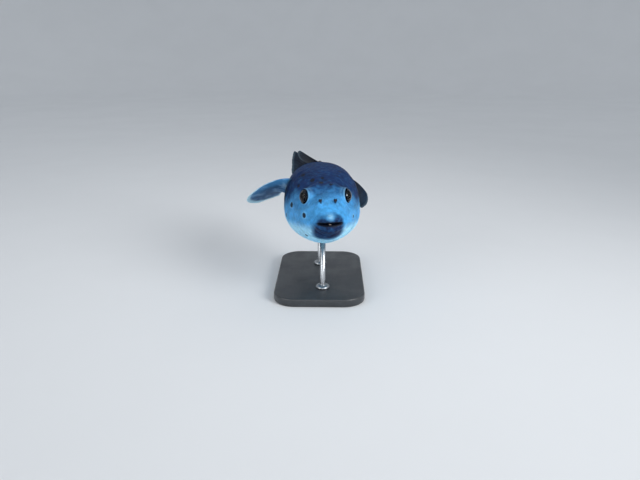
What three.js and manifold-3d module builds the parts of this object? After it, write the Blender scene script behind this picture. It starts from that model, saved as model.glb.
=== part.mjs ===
// A blackspotted puffer at life size, swimming level on a display stand.
// Millimetres, +Z up. The fish looks towards -Y, and its left side is towards +X.
// The origin is the middle of the stand's underside.

import * as THREE from 'three'
import { mergeVertices } from 'three/addons/utils/BufferGeometryUtils.js'
import Module from 'manifold-3d'

const wasm = await Module()
wasm.setup()

// ---- Driving dimensions ----

const STANDARD_LENGTH = 200 // tip of the lips to the root of the tail fin
const MOUTH_HEIGHT = 88 // mouth line above the floor
const SNOUT_Y = -99 // where the lips are, along the stand
const SNOUT_X = 10
const HEAD_YAW = degrees(8) // the head points this much towards its own left
const TRUNK_BEND = 18 // how far the trunk's curve carries the tail root to the left
const TAIL_BEND = 10 // and how far the tail stalk curves back to the right
const GAP = 0.3 // between pieces that touch
const RINGS_AROUND = 32
const RINGS_ALONG = 38

// Cross-sections of the body, from the back of the mouth over the lips to the tail root.
// s is the distance behind the lips, side the half width, top and bottom the heights from
// the mouth line, mid the height of the widest place, square how boxy the upper half is
// (2 is an ellipse) and bow how far the flanks of the section lie back from its middle.
const SECTIONS = [
  { s: 10.5, side: 0, top: 0, bottom: 0, mid: 0, square: 2, bow: 0 },
  { s: 9.6, side: 6.8, top: 0.9, bottom: -1.0, mid: 0, square: 2, bow: 0 },
  { s: 5.0, side: 8.4, top: 1.0, bottom: -1.1, mid: 0, square: 2, bow: 1.5 },
  { s: 1.4, side: 8.7, top: 0.75, bottom: -0.9, mid: 0, square: 2, bow: 3 },
  { s: 0.0, side: 10.4, top: 3.7, bottom: -4.0, mid: 0, square: 2, bow: 4 },
  { s: 1.3, side: 13.2, top: 6.1, bottom: -6.8, mid: 0, square: 2, bow: 4.4 },
  { s: 4.2, side: 14.0, top: 7.2, bottom: -8.8, mid: -0.5, square: 2, bow: 4 },
  { s: 10, side: 16.6, top: 10.2, bottom: -13.2, mid: -1.5, square: 2.1, bow: 3 },
  { s: 20, side: 20.9, top: 15.5, bottom: -19.6, mid: -3, square: 2.15, bow: 1.5 },
  { s: 34, side: 25.6, top: 21.8, bottom: -26.6, mid: -5.5, square: 2.15, bow: 0 },
  { s: 52, side: 31.8, top: 26.8, bottom: -32.6, mid: -8, square: 2.2, bow: 0 },
  { s: 75, side: 34.8, top: 29.8, bottom: -38.4, mid: -7.5, square: 2.5, bow: 0 },
  { s: 100, side: 34.2, top: 29.8, bottom: -43.4, mid: -6, square: 2.5, bow: 0 },
  { s: 122, side: 30.6, top: 27.4, bottom: -42.2, mid: -4.5, square: 2.5, bow: 0 },
  { s: 143, side: 23.8, top: 23.4, bottom: -33, mid: -3, square: 2.3, bow: 0 },
  { s: 162, side: 16.5, top: 18, bottom: -21, mid: -1, square: 2.1, bow: 0 },
  { s: 180, side: 10, top: 13.8, bottom: -13.2, mid: 0, square: 2, bow: 0 },
  { s: 193, side: 6.2, top: 11.6, bottom: -10.6, mid: 0.5, square: 2, bow: 0 },
  { s: 199, side: 4.4, top: 10.6, bottom: -9.6, mid: 0.5, square: 2, bow: 0 },
  { s: 200, side: 0, top: 0.5, bottom: 0.5, mid: 0.5, square: 2, bow: 0 },
]

const KEEL = 1.8 // roundness of the lower half of every section: under 2 is narrower below

const SNOUT_LENGTH = 12 // the snout is parted from the head here
const HEAD_LENGTH = 74.5 // just behind the gill openings
const TAIL_START = 146 // where the trunk narrows into the tail stalk
const BELLY_LINE = -17 // the belly lies below this height from the mouth line
const LIP_DEPTH = 3.6
const LIP_CURVE = 22 // radius of the parting behind the lips, seen from above

const EYE = { s: 33.5, side: 15.4, height: 15, radius: 6.7 }
const EYE_AXIS = { outwards: 0.9, forwards: 0.36, upwards: 0.2 }
const BROW = { radius: 7.9, sunk: 2 } // the rim of flesh round each eye
const NOSE_FLAP = { s: 16.8, side: 6.2, height: 14.4, length: 2.4, spread: degrees(16) }
const GILL = { s: 71.5, height: 9, length: 14, width: 2.2, depth: 5 }
const BEAK = { radius: 9.6, thickness: 1.8, half: degrees(44), s: 2.6, edge: 0.55, root: 2.7 }

// Fins: where the first and last rays spring from, how long the rays are at the longest and at
// both edges, and which way they point. A peak says where along the root the longest ray is.
const PECTORAL = {
  s: [78, 85],
  middle: 81,
  side: [26, 32.5],
  height: [20.5, 4.5],
  rays: { longest: 46, first: 35, last: 27, peak: 0.38 },
}
// sweep turns the first and last rays back, droop lowers them and curl bends their tips.
const RIGHT_FIN = {
  sweep: [degrees(-2), degrees(74)],
  droop: { edges: degrees(-7), middle: degrees(12) },
  curl: { back: 0.5, down: 1, amount: 0.52 },
}
const LEFT_FIN = {
  sweep: [degrees(54), degrees(82)],
  droop: { edges: degrees(22), middle: degrees(6) },
  curl: { back: 0, down: 1, amount: 0.2 },
}
// leans says how far the first and last rays lean to the fish's right.
const DORSAL = { up: 1, s: [148, 166], longest: 28, leans: [degrees(58), degrees(96)] }
const ANAL = { up: -1, s: [153, 169], longest: 27, leans: [degrees(60), degrees(60)] }
const MIDDLE_FIN = { s: 160, sweep: [degrees(28), degrees(58)], first: 0.86, last: 0.6, peak: 0.3 }
const TAIL_FIN = {
  height: [9.4, -8.4],
  inside: 3, // the rays start this far inside the stalk
  spread: degrees(15),
  swing: degrees(7),
  rays: { longest: 48, first: 41, last: 41, peak: 0.5 },
}
const FIN_THICKNESS = { root: 1.8, tailRoot: 2, edge: 0.8 }

const STAND = { width: 84, length: 130, thickness: 8, corner: 20, bevel: 1.5 }
const ROD = { radius: 2.5, flange: 6.5, flangeHeight: 3, front: 62, rear: 126 }

// ---- Materials ----

const SLATE = material(0x5d87a6, 0.5)
const PALE = material(0xa9cbdd, 0.5) // the face and belly
const NAVY = material(0x16263b, 0.45) // the lips and the flaps at the nostrils
const FIN = material(0x55809c, 0.45)
const EYE_BLACK = material(0x05080c, 0.08)
const TOOTH = material(0xe6d9cf, 0.3)
const STAND_PAINT = material(0x2b2e31, 0.5)
const STEEL = material(0xb4b8ba, 0.3, 1)

function material(color, roughness, metalness = 0) {
  return new THREE.MeshStandardMaterial({ color, roughness, metalness })
}

function degrees(angle) {
  return (angle * Math.PI) / 180
}

// ---- The line that the body follows, and its skin ----

// Middle line of the body at s: its point, and the ways back, left and up there.
function spine(s) {
  const tail = STANDARD_LENGTH - TAIL_START
  const past = Math.max(s - TAIL_START, 0)
  const bend = TRUNK_BEND * (s / STANDARD_LENGTH) ** 2 - TAIL_BEND * (past / tail) ** 2
  const turn = (2 * TRUNK_BEND * s) / STANDARD_LENGTH ** 2 - (2 * TAIL_BEND * past) / tail ** 2
  const point = new THREE.Vector3(
    SNOUT_X - s * Math.sin(HEAD_YAW) + bend,
    SNOUT_Y + s * Math.cos(HEAD_YAW),
    MOUTH_HEIGHT,
  )
  const back = new THREE.Vector3(turn - Math.sin(HEAD_YAW), Math.cos(HEAD_YAW), 0).normalize()
  const up = new THREE.Vector3(0, 0, 1)
  const left = new THREE.Vector3().crossVectors(back, up)
  return { point, back, left, up }
}

// A place given in the body's own terms: s behind the lips, side to the left, height.
function place(s, side, height) {
  const { point, left, up } = spine(s)
  return point.clone().addScaledVector(left, side).addScaledVector(up, height)
}

// A direction at s, from its parts to the left, back and up.
function direction(s, toLeft, toBack, toUp) {
  const { back, left, up } = spine(s)
  const sum = new THREE.Vector3().addScaledVector(left, toLeft).addScaledVector(back, toBack)
  return sum.addScaledVector(up, toUp).normalize()
}

// Section at a place p along the list, smooth between its rows.
function section(p) {
  const last = SECTIONS.length - 1
  const i = Math.min(Math.floor(p), last - 1)
  const t = p - i
  const row = (k) => SECTIONS[Math.min(Math.max(k, 0), last)]
  const smooth = (key) => {
    const [a, b, c, d] = [row(i - 1)[key], row(i)[key], row(i + 1)[key], row(i + 2)[key]]
    const bend = (2 * a - 5 * b + 4 * c - d) * t * t + (3 * b - a - 3 * c + d) * t ** 3
    return b + 0.5 * ((c - a) * t + bend)
  }
  return Object.fromEntries(Object.keys(SECTIONS[0]).map((key) => [key, smooth(key)]))
}

// Point of the skin at place p and angle round the body, grown outwards by grow.
function skin(p, angle, grow = 0) {
  const { s, side, top, bottom, mid, square, bow } = section(p)
  const across = Math.cos(angle)
  const high = Math.sin(angle)
  const power = 2 / (high > 0 ? square : KEEL)
  const curve = (x) => Math.sign(x) * Math.abs(x) ** power
  const reach = high > 0 ? top - mid : mid - bottom
  const out = grow * Math.min(side, 1)
  const height = mid + (reach + out) * curve(high)
  return place(s + bow * across ** 2, (side + out) * curve(across), height)
}

// Place along the sections where the skin passes s, behind the lips.
function placeOf(s) {
  let low = SECTIONS.findIndex((row) => row.s === 0)
  let high = SECTIONS.length - 1
  for (let step = 0; step < 30; step += 1) {
    const middle = (low + high) / 2
    if (section(middle).s < s) low = middle
    else high = middle
  }
  return low
}

// ---- Solids ----

function solid(geometry) {
  const bare = geometry.index ? geometry.clone() : geometry
  bare.deleteAttribute('normal')
  bare.deleteAttribute('uv')
  const merged = mergeVertices(bare, 1e-4)
  return new wasm.Manifold(
    new wasm.Mesh({
      numProp: 3,
      vertProperties: new Float32Array(merged.attributes.position.array),
      triVerts: new Uint32Array(merged.index.array),
    }),
  )
}

function largest(manifold) {
  const pieces = manifold.decompose()
  return pieces.reduce((best, piece) => (piece.volume() > best.volume() ? piece : best))
}

function mesh(name, manifold, look) {
  const { vertProperties, triVerts } = largest(manifold).getMesh()
  const geometry = new THREE.BufferGeometry()
  geometry.setAttribute('position', new THREE.BufferAttribute(vertProperties, 3))
  geometry.setIndex(new THREE.BufferAttribute(triVerts, 1))
  geometry.computeVertexNormals()
  const made = new THREE.Mesh(geometry, look)
  made.name = name
  return made
}

// Moves every vertex of a geometry by a function of its old place.
function reshape(geometry, move) {
  const position = geometry.attributes.position
  const old = new THREE.Vector3()
  for (let i = 0; i < position.count; i += 1) {
    old.fromBufferAttribute(position, i)
    const moved = move(old, i)
    position.setXYZ(i, moved.x, moved.y, moved.z)
  }
  return geometry
}

function bodySolid(grow = 0) {
  const ball = new THREE.SphereGeometry(1, RINGS_AROUND, RINGS_ALONG)
  const uv = ball.attributes.uv
  const last = SECTIONS.length - 1
  const turned = (i) => (uv.getX(i) % 1) * 2 * Math.PI
  return solid(reshape(ball, (old, i) => skin((1 - uv.getY(i)) * last, turned(i), grow)))
}

// An ellipsoid with its half sizes along the left, back and up ways of the body at s.
function lobe(s, side, height, half, lean = 0, around = 12) {
  const { back, left, up } = spine(s)
  const centre = place(s, side, height)
  const ball = new THREE.SphereGeometry(1, around, Math.round(around * 0.7))
  ball.scale(half.side, half.back, half.up)
  ball.rotateY(lean)
  const turn = new THREE.Matrix4().makeBasis(left, back, up).setPosition(centre)
  return solid(ball.applyMatrix4(turn))
}

// All that lies behind the station s, as a large block turned with the body.
function behind(s, shift = 0) {
  const size = 400
  const block = new THREE.BoxGeometry(size, size, size).translate(0, size / 2 + shift, 0)
  const { point, back, left, up } = spine(s)
  return solid(block.applyMatrix4(new THREE.Matrix4().makeBasis(left, back, up).setPosition(point)))
}

// All that lies above a height from the mouth line.
function above(height) {
  const size = 600
  const block = new THREE.BoxGeometry(size, size, size)
  return solid(block.translate(0, 0, MOUTH_HEIGHT + height + size / 2))
}

// The round parting behind the lips.
function lipParting(radius) {
  const centre = place(LIP_DEPTH + LIP_CURVE, 0, 0)
  const post = new THREE.CylinderGeometry(radius, radius, 60, 26)
  return solid(post.rotateX(Math.PI / 2).translate(centre.x, centre.y, centre.z))
}

function eyePlace(side) {
  return place(EYE.s, side * EYE.side, EYE.height)
}

function eyeAxis(side) {
  return direction(EYE.s, side * EYE_AXIS.outwards, -EYE_AXIS.forwards, EYE_AXIS.upwards)
}

function ballAt(centre, radius) {
  const ball = new THREE.SphereGeometry(radius, 16, 10)
  return solid(ball.translate(centre.x, centre.y, centre.z))
}

// ---- Fins ----

// A fan of rays between root(b) and the tips, with b from 0 at the first ray to 1 at the last.
// ray(b) gives the way and length of a ray, and curl the way that its tip bends to.
function fan({ root, ray, curl, thick, thin, rays, steps }) {
  const at = (a, b) => {
    const { way, length } = ray(b)
    const start = root(b).clone().addScaledVector(way, a * length)
    return start.addScaledVector(curl.way, curl.amount * length * a * a)
  }
  const slab = new THREE.BoxGeometry(1, 1, 1, steps, rays, 1)
  const middle = (old) => {
    const [a, b] = [old.x + 0.5, old.y + 0.5]
    const small = 0.01
    const alongRay = at(a + small, b).sub(at(a - small, b))
    const acrossRays = at(a, b + small).sub(at(a, b - small))
    const normal = alongRay.cross(acrossRays).normalize()
    return at(a, b).addScaledVector(normal, old.z * (thick + (thin - thick) * a))
  }
  return solid(reshape(slab, middle))
}

// Rounded outline of a fin: shorter rays at both edges.
function rounded(b, { longest, first, last, peak }) {
  const edge = b < peak ? first : last
  const away = b < peak ? (peak - b) / peak : (b - peak) / (1 - peak)
  return longest - (longest - edge) * away ** 2.4
}

function mixed(a, b, t) {
  return a + (b - a) * t
}

// side is 1 for the left fin and -1 for the right one.
function pectoral(side, { sweep, droop, curl }) {
  const root = (b) => {
    const { s, side: out, height } = PECTORAL
    return place(mixed(...s, b), side * mixed(...out, b), mixed(...height, b))
  }
  const ray = (b) => {
    const back = mixed(...sweep, b)
    const down = droop.edges + droop.middle * Math.sin(b * Math.PI)
    const flat = Math.cos(down)
    const toLeft = side * flat * Math.cos(back)
    const way = direction(PECTORAL.middle, toLeft, flat * Math.sin(back), -Math.sin(down))
    return { way, length: rounded(b, PECTORAL.rays) }
  }
  const curled = { way: direction(PECTORAL.middle, 0, curl.back, -curl.down), amount: curl.amount }
  const { root: thick, edge: thin } = FIN_THICKNESS
  return fan({ root, ray, curl: curled, thick, thin, rays: 12, steps: 4 })
}

// A fin on the middle line: up is 1 on the back and -1 below.
function middleFin({ up, s, longest, leans }) {
  const { s: station, sweep, first, last, peak } = MIDDLE_FIN
  const root = (b) => {
    const at = mixed(...s, b)
    const { top, bottom } = section(placeOf(at))
    return place(at, 0, (up > 0 ? top : bottom) - up * 1.5)
  }
  const ray = (b) => {
    const back = mixed(...sweep, b)
    const lean = mixed(...leans, b)
    const out = Math.cos(back)
    const way = direction(station, -out * Math.sin(lean), Math.sin(back), up * out * Math.cos(lean))
    const lengths = { longest, first: longest * first, last: longest * last, peak }
    return { way, length: rounded(b, lengths) }
  }
  const curl = { way: direction(station, -0.5, 1, 0), amount: 0.12 }
  const { root: thick, edge: thin } = FIN_THICKNESS
  return fan({ root, ray, curl, thick, thin, rays: 9, steps: 4 })
}

function tailFin() {
  const { height, inside, spread, swing, rays } = TAIL_FIN
  const end = STANDARD_LENGTH
  const root = (b) => place(end - inside, 0, mixed(...height, b))
  const ray = (b) => {
    const rise = mixed(spread, -spread, b)
    const back = Math.cos(rise)
    const way = direction(end, -back * Math.sin(swing), back * Math.cos(swing), Math.sin(rise))
    return { way, length: rounded(b, rays) }
  }
  const curl = { way: direction(end, -1, 0, 0), amount: 0.15 }
  const { tailRoot: thick, edge: thin } = FIN_THICKNESS
  return fan({ root, ray, curl, thick, thin, rays: 12, steps: 6 })
}

// ---- Small pieces of the head ----

// One half of the beak: a curved plate, standing from its edge to its root in the gum.
// way is 1 for the upper half and -1 for the lower one.
function beak(way, grow = 0) {
  const { radius, thickness } = BEAK
  const half = BEAK.half + grow / radius
  const outer = radius + grow
  const inner = radius - thickness - grow
  const plan = new THREE.Shape()
  plan.absarc(0, 0, outer, Math.PI / 2 - half, Math.PI / 2 + half, false)
  plan.absarc(0, 0, inner, Math.PI / 2 + half, Math.PI / 2 - half, true)
  const depth = BEAK.root - BEAK.edge + 2 * grow
  const plate = new THREE.ExtrudeGeometry(plan, { depth, bevelEnabled: false, curveSegments: 8 })
  plate.translate(0, 0, (way > 0 ? BEAK.edge : -BEAK.root) - grow)
  const { back, left, up } = spine(0)
  const turn = new THREE.Matrix4().makeBasis(left.negate(), back.negate(), up)
  return solid(plate.applyMatrix4(turn.setPosition(place(BEAK.s + radius, 0, 0))))
}

// The short forked flap at each nostril.
function noseFlap(side) {
  const { s, height, length, spread } = NOSE_FLAP
  const half = { side: 0.75, back: 0.5, up: length }
  const leaf = (lean) => {
    const shift = side * NOSE_FLAP.side + Math.sin(lean) * length * 0.6
    return lobe(s, shift, height + length * 0.35, half, lean, 6)
  }
  return leaf(spread).add(leaf(-spread))
}

// ---- Stand ----

function standBase() {
  const { width, length, thickness, corner, bevel } = STAND
  const x = width / 2 - bevel
  const y = length / 2 - bevel
  const r = corner - bevel
  const plan = new THREE.Shape()
  plan.absarc(x - r, y - r, r, 0, Math.PI / 2, false)
  plan.absarc(r - x, y - r, r, Math.PI / 2, Math.PI, false)
  plan.absarc(r - x, r - y, r, Math.PI, 1.5 * Math.PI, false)
  plan.absarc(x - r, r - y, r, 1.5 * Math.PI, 2 * Math.PI, false)
  const slab = new THREE.ExtrudeGeometry(plan, {
    depth: thickness - 2 * bevel,
    bevelThickness: bevel,
    bevelSize: bevel,
    bevelSegments: 1,
    curveSegments: 5,
  })
  return solid(slab.translate(0, 0, bevel))
}

// A rod from the base up into the belly at s, with a small foot flange.
function standRod(s) {
  const foot = STAND.thickness + GAP
  const { x, y } = place(s, 0, 0)
  const outline = [
    [0, foot],
    [ROD.flange - 0.6, foot],
    [ROD.flange, foot + 0.6],
    [ROD.flange, foot + ROD.flangeHeight - 1.2],
    [ROD.radius + 0.8, foot + ROD.flangeHeight],
    [ROD.radius, foot + ROD.flangeHeight + 1],
    [ROD.radius, MOUTH_HEIGHT],
    [0, MOUTH_HEIGHT],
  ]
  const profile = outline.map(([radius, height]) => new THREE.Vector2(radius, height))
  const turned = new THREE.LatheGeometry(profile, 14)
  return solid(turned.rotateX(Math.PI / 2).translate(x, y, 0))
}

// ---- Assembly ----

const sides = [
  { name: 'left', side: 1 },
  { name: 'right', side: -1 },
]

// The whole body with its mounds of flesh, grown outwards by grow.
function flesh(grow) {
  let whole = bodySolid(grow)
  const mound = (s, side, height, half, lean) => {
    const grown = { side: half.side + grow, back: half.back + grow, up: half.up + grow }
    whole = whole.add(lobe(s, side, height, grown, lean))
  }
  for (const { side } of sides) {
    mound(81, side * 28.6, 12.5, { side: 3, back: 6, up: 10.5 }, -side * degrees(24))
    const brow = eyePlace(side).addScaledVector(eyeAxis(side), -BROW.sunk)
    whole = whole.add(ballAt(brow, BROW.radius + grow))
  }
  mound(157, 0, 17.5, { side: 3, back: 12, up: 4 }, 0)
  mound(161, 0, -19, { side: 3, back: 11, up: 4 }, 0)
  return whole
}

let body = flesh(0)
const surround = flesh(GAP)
for (const { side } of sides) {
  body = body.subtract(ballAt(eyePlace(side), EYE.radius + GAP))
  const slit = { side: GILL.depth, back: GILL.width / 2, up: GILL.length / 2 }
  body = body.subtract(lobe(GILL.s, side * 34, GILL.height, slit))
  body = body.subtract(beak(side, GAP))
}

const fromSnout = behind(SNOUT_LENGTH)
const fromTrunk = behind(HEAD_LENGTH)
const fromTail = behind(TAIL_START)
const front = body.subtract(behind(SNOUT_LENGTH, -GAP))
const trunk = body.intersect(fromTrunk).subtract(behind(TAIL_START, -GAP))
const lips = front.subtract(lipParting(LIP_CURVE))

const model = new THREE.Group()
const add = (name, manifold, look) => model.add(mesh(name, manifold, look))

add('head', body.intersect(fromSnout).subtract(behind(HEAD_LENGTH, -GAP)), PALE)
add('snout', front.intersect(lipParting(LIP_CURVE - GAP)), SLATE)
add('lip_upper', lips.intersect(above(GAP / 2)), NAVY)
add('lip_lower', lips.subtract(above(-GAP / 2)), NAVY)
add('trunk', trunk.intersect(above(BELLY_LINE)), SLATE)
add('belly', trunk.subtract(above(BELLY_LINE - GAP)), PALE)
add('tail_stalk', body.intersect(fromTail), SLATE)

// What grows out of the skin, or holds it, ends just short of it.
const addOutside = (name, manifold, look) => add(name, manifold.subtract(surround), look)

addOutside('tail_fin', tailFin(), FIN)
addOutside('dorsal_fin', middleFin(DORSAL), FIN)
addOutside('anal_fin', middleFin(ANAL), FIN)
addOutside('pectoral_fin_left', pectoral(1, LEFT_FIN), FIN)
addOutside('pectoral_fin_right', pectoral(-1, RIGHT_FIN), FIN)
for (const { name, side } of sides) {
  add(`eye_${name}`, ballAt(eyePlace(side), EYE.radius), EYE_BLACK)
  addOutside(`nose_flap_${name}`, noseFlap(side), NAVY)
}
add('beak_upper', beak(1), TOOTH)
add('beak_lower', beak(-1), TOOTH)
add('stand_base', standBase(), STAND_PAINT)
addOutside('stand_rod_front', standRod(ROD.front), STEEL)
addOutside('stand_rod_rear', standRod(ROD.rear), STEEL)

export default model
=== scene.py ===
import math

import bmesh
import bpy
import numpy as np
from mathutils import Matrix, Vector, noise


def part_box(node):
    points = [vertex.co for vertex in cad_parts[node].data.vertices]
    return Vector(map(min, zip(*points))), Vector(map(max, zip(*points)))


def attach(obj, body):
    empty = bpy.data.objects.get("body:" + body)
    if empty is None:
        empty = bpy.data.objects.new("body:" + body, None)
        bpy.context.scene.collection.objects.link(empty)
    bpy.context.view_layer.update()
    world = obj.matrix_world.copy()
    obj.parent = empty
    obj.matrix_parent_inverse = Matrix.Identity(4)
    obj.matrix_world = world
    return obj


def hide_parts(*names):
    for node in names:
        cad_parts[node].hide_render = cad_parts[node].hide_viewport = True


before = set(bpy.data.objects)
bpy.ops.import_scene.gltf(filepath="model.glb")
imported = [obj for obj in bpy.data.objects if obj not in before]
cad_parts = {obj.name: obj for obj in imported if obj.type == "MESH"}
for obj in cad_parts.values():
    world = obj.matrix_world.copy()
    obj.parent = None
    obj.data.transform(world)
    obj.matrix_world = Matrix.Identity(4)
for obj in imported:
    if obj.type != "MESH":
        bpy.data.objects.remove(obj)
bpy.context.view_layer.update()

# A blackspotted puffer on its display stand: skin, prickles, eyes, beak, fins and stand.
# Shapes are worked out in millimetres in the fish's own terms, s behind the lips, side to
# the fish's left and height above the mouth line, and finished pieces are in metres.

bl_info = {
    "name": "Blackspotted Puffer",
    "version": (1, 0, 0),
    "blender": (4, 5, 0),
    "location": "View3D > Sidebar > Puffer",
    "description": "Builds a life-size blackspotted puffer on a display stand",
    "category": "Add Mesh",
}

MM = 0.001
UP = np.array([0, 0, 1.0])
ROOT = "root"

# ---- Line and sections of the body, as in the solids ----

LENGTH = 200.0
SNOUT = (10.0, -99.0, 88.0)
YAW = math.radians(8)
TRUNK_BEND = 18.0
TAIL_BEND = 10.0
TAIL_START = 146.0
KEEL = 1.8
LIP_ROW = 4

# s, half width, top, bottom, height of the widest place, boxiness above it, bow of the flanks
ROWS = np.array([
    (10.5, 0, 0, 0, 0, 2, 0),
    (9.6, 6.8, 0.9, -1.0, 0, 2, 0),
    (5.0, 8.4, 1.0, -1.1, 0, 2, 1.5),
    (1.4, 8.7, 0.75, -0.9, 0, 2, 3),
    (0.0, 10.4, 3.7, -4.0, 0, 2, 4),
    (1.3, 13.2, 6.1, -6.8, 0, 2, 4.4),
    (4.2, 14.0, 7.2, -8.8, -0.5, 2, 4),
    (10, 16.6, 10.2, -13.2, -1.5, 2.1, 3),
    (20, 20.9, 15.5, -19.6, -3, 2.15, 1.5),
    (34, 25.6, 21.8, -26.6, -5.5, 2.15, 0),
    (52, 31.8, 26.8, -32.6, -8, 2.2, 0),
    (75, 34.8, 29.8, -38.4, -7.5, 2.5, 0),
    (100, 34.2, 29.8, -43.4, -6, 2.5, 0),
    (122, 30.6, 27.4, -42.2, -4.5, 2.5, 0),
    (143, 23.8, 23.4, -33, -3, 2.3, 0),
    (162, 16.5, 18, -21, -1, 2.1, 0),
    (180, 10, 13.8, -13.2, 0, 2, 0),
    (193, 5.7, 11.4, -10.4, 0.5, 2, 0),
    (199, 3.6, 10.7, -9.7, 0.5, 2, 0),
    (207, 1.2, 11.2, -10.2, 0.5, 2, 0),
    (209, 0, 0.5, 0.5, 0.5, 2, 0),
])
LAST_ROW = len(ROWS) - 1

EYE_STATION = 33.5
EYE_AXIS = (0.86, -0.46, 0.2)  # to the side, back and up
BROW_RADIUS, BROW_SUNK = 7.9, 2.0
NOSTRIL = (16.8, 6.2, 14.4)  # s, side and height
GILL = {"s": 71.5, "height": 9.0, "half": 7.0, "side": 26.0}
PECTORAL_S, MIDDLE_FINS_S = 81.0, 160.0  # where the directions of the fins are taken
BEAK_RADIUS, BEAK_S = 9.6, 2.6

# ---- Sizes and colours that a user would change ----


def srgb(red, green, blue):
    """A colour given in display values from 0 to 255, as the linear one that shaders take."""
    def linear(value):
        value /= 255
        return value / 12.92 if value <= 0.04045 else ((value + 0.055) / 1.055) ** 2.4

    return tuple(linear(value) for value in (red, green, blue))


def length_property(name, description, millimetres):
    return bpy.props.FloatProperty(
        name=name, description=description, default=millimetres * MM, min=0.0, unit="LENGTH"
    )


def colour_property(name, description, *display):
    return bpy.props.FloatVectorProperty(
        name=name,
        description=description,
        default=srgb(*display),
        size=3,
        min=0.0,
        max=1.0,
        subtype="COLOR",
    )


class PufferSizes(bpy.types.PropertyGroup):
    """Sizes of the surface detail."""

    prickle_length: length_property("Prickle length", "Longest prickles of the coat", 0.85)
    prickle_spacing: length_property("Prickle spacing", "Distance between prickles", 0.95)
    wrinkle_depth: length_property("Wrinkle depth", "Depth of the belly's creases", 0.3)
    ray_height: length_property("Ray height", "How far fin rays stand out of the fin", 0.3)
    rod_radius: length_property("Rod radius", "Half thickness of the stand's rods", 2.5)


class PufferColours(bpy.types.PropertyGroup):
    """Colours of the fish and the stand."""

    face: colour_property("Face", "Pale skin of the face and flanks", 66, 146, 204)
    # Back: the fish's own darker back, darkened further as painted shade on the top of the fish
    back: colour_property("Back", "Darker skin of the back", 12, 42, 88)
    belly: colour_property("Belly", "Skin below the flanks and round the chin", 164, 220, 247)
    # Spots: also the colour of the painted shade in the mouth's slit, in the eye sockets, at the
    # side fins' roots and over the shaded fins
    spot: colour_property("Spots", "Spots, muzzle and other black markings", 7, 13, 28)
    fin: colour_property("Fins", "Fin membrane", 26, 76, 124)
    fin_edge: colour_property("Fin edges", "Pale margin of the fins", 184, 224, 240)
    iris: colour_property("Iris", "Eye round the pupil", 10, 15, 24)
    ring: colour_property("Pupil ring", "Thin ring round the pupil", 120, 112, 78)
    tooth: colour_property("Beak", "Beak plates", 232, 214, 204)
    paint: colour_property("Stand paint", "Painted wood of the base", 40, 43, 47)
    steel: colour_property("Rods", "Brushed steel of the rods", 178, 182, 186)
    floor: colour_property("Floor", "Studio floor and backdrop", 226, 228, 230)


class StageLight(bpy.types.PropertyGroup):
    """Camera and lamps of the studio."""

    lens: bpy.props.FloatProperty(
        name="Lens", description="Focal length of the camera", default=32.0, unit="CAMERA"
    )
    key: bpy.props.FloatProperty(
        name="Key light", description="Power of the main softbox", default=1.9, unit="POWER"
    )
    fill: bpy.props.FloatProperty(
        name="Fill light", description="Power of the fill softboxes", default=0.4, unit="POWER"
    )


# ---- Mathematics of the body ----


def spine(s):
    """Middle line of the body at s: its point, and the ways back and left there."""
    s = np.asarray(s, float)
    tail = LENGTH - TAIL_START
    past = np.maximum(s - TAIL_START, 0)
    bend = TRUNK_BEND * (s / LENGTH) ** 2 - TAIL_BEND * (past / tail) ** 2
    turn = 2 * TRUNK_BEND * s / LENGTH**2 - 2 * TAIL_BEND * past / tail**2
    x, y, z = SNOUT
    point = np.stack([
        x - s * math.sin(YAW) + bend, y + s * math.cos(YAW), np.full_like(s, z)
    ], -1)
    back = unit(np.stack([
        turn - math.sin(YAW), np.full_like(s, math.cos(YAW)), np.zeros_like(s)
    ], -1))
    left = np.stack([back[..., 1], -back[..., 0], np.zeros_like(s)], -1)
    return point, back, left


def unit(vectors):
    length = np.linalg.norm(vectors, axis=-1, keepdims=True)
    return vectors / np.maximum(length, 1e-9)


def place(s, side, height):
    """Points given in the fish's own terms."""
    s, side, height = np.broadcast_arrays(
        np.asarray(s, float), np.asarray(side, float), np.asarray(height, float)
    )
    point, _, left = spine(s)
    return point + left * side[..., None] + height[..., None] * UP


def direction(s, to_left, to_back, to_up):
    """Unit ways at one s, from their parts to the left, back and up."""
    _, back, left = spine(s)
    parts = np.broadcast_arrays(*(np.asarray(part, float) for part in (to_left, to_back, to_up)))
    to_left, to_back, to_up = (part[..., None] for part in parts)
    return unit(left * to_left + back * to_back + UP * to_up)


def section(p):
    """Sizes of the cross-section at places p along ROWS, smooth between the rows."""
    p = np.asarray(p, float)
    row = np.clip(np.floor(p).astype(int), 0, LAST_ROW - 1)
    t = (p - row)[..., None]
    a, b, c, d = (ROWS[np.clip(row + step, 0, LAST_ROW)] for step in (-1, 0, 1, 2))
    bend = (2 * a - 5 * b + 4 * c - d) * t**2 + (3 * b - a - 3 * c + d) * t**3
    return np.moveaxis(b + 0.5 * ((c - a) * t + bend), -1, 0)


def skin_terms(p, angle, sunk=0.0):
    """The skin at places p and angles round the body, in the fish's own terms."""
    s, side, top, bottom, mid, square, bow = section(p)
    across, high = np.cos(angle), np.sin(angle)
    power = 2 / np.where(high > 0, square, KEEL)

    def curve(x):
        return np.sign(x) * np.abs(x) ** power

    reach = np.where(high > 0, top - mid, mid - bottom)
    inwards = sunk * np.minimum(side, 1) * np.clip((p - LIP_ROW - 1) / 2, 0, 1)
    height = mid + (reach - inwards) * curve(high)
    return s + bow * across**2, (side - inwards) * curve(across), height


def row_place(s):
    """Places along ROWS where the skin passes s, behind the lips."""
    fine = np.linspace(LIP_ROW, LAST_ROW, 2001)
    return np.interp(s, section(fine)[0], fine)


def rise(x, start, end):
    """0 before start, 1 past end and smooth between them; start may be the larger."""
    t = np.clip((x - start) / (end - start), 0, 1)
    return t * t * (3 - 2 * t)


def bell(x, width):
    return np.exp(-((x / width) ** 2))


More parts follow.
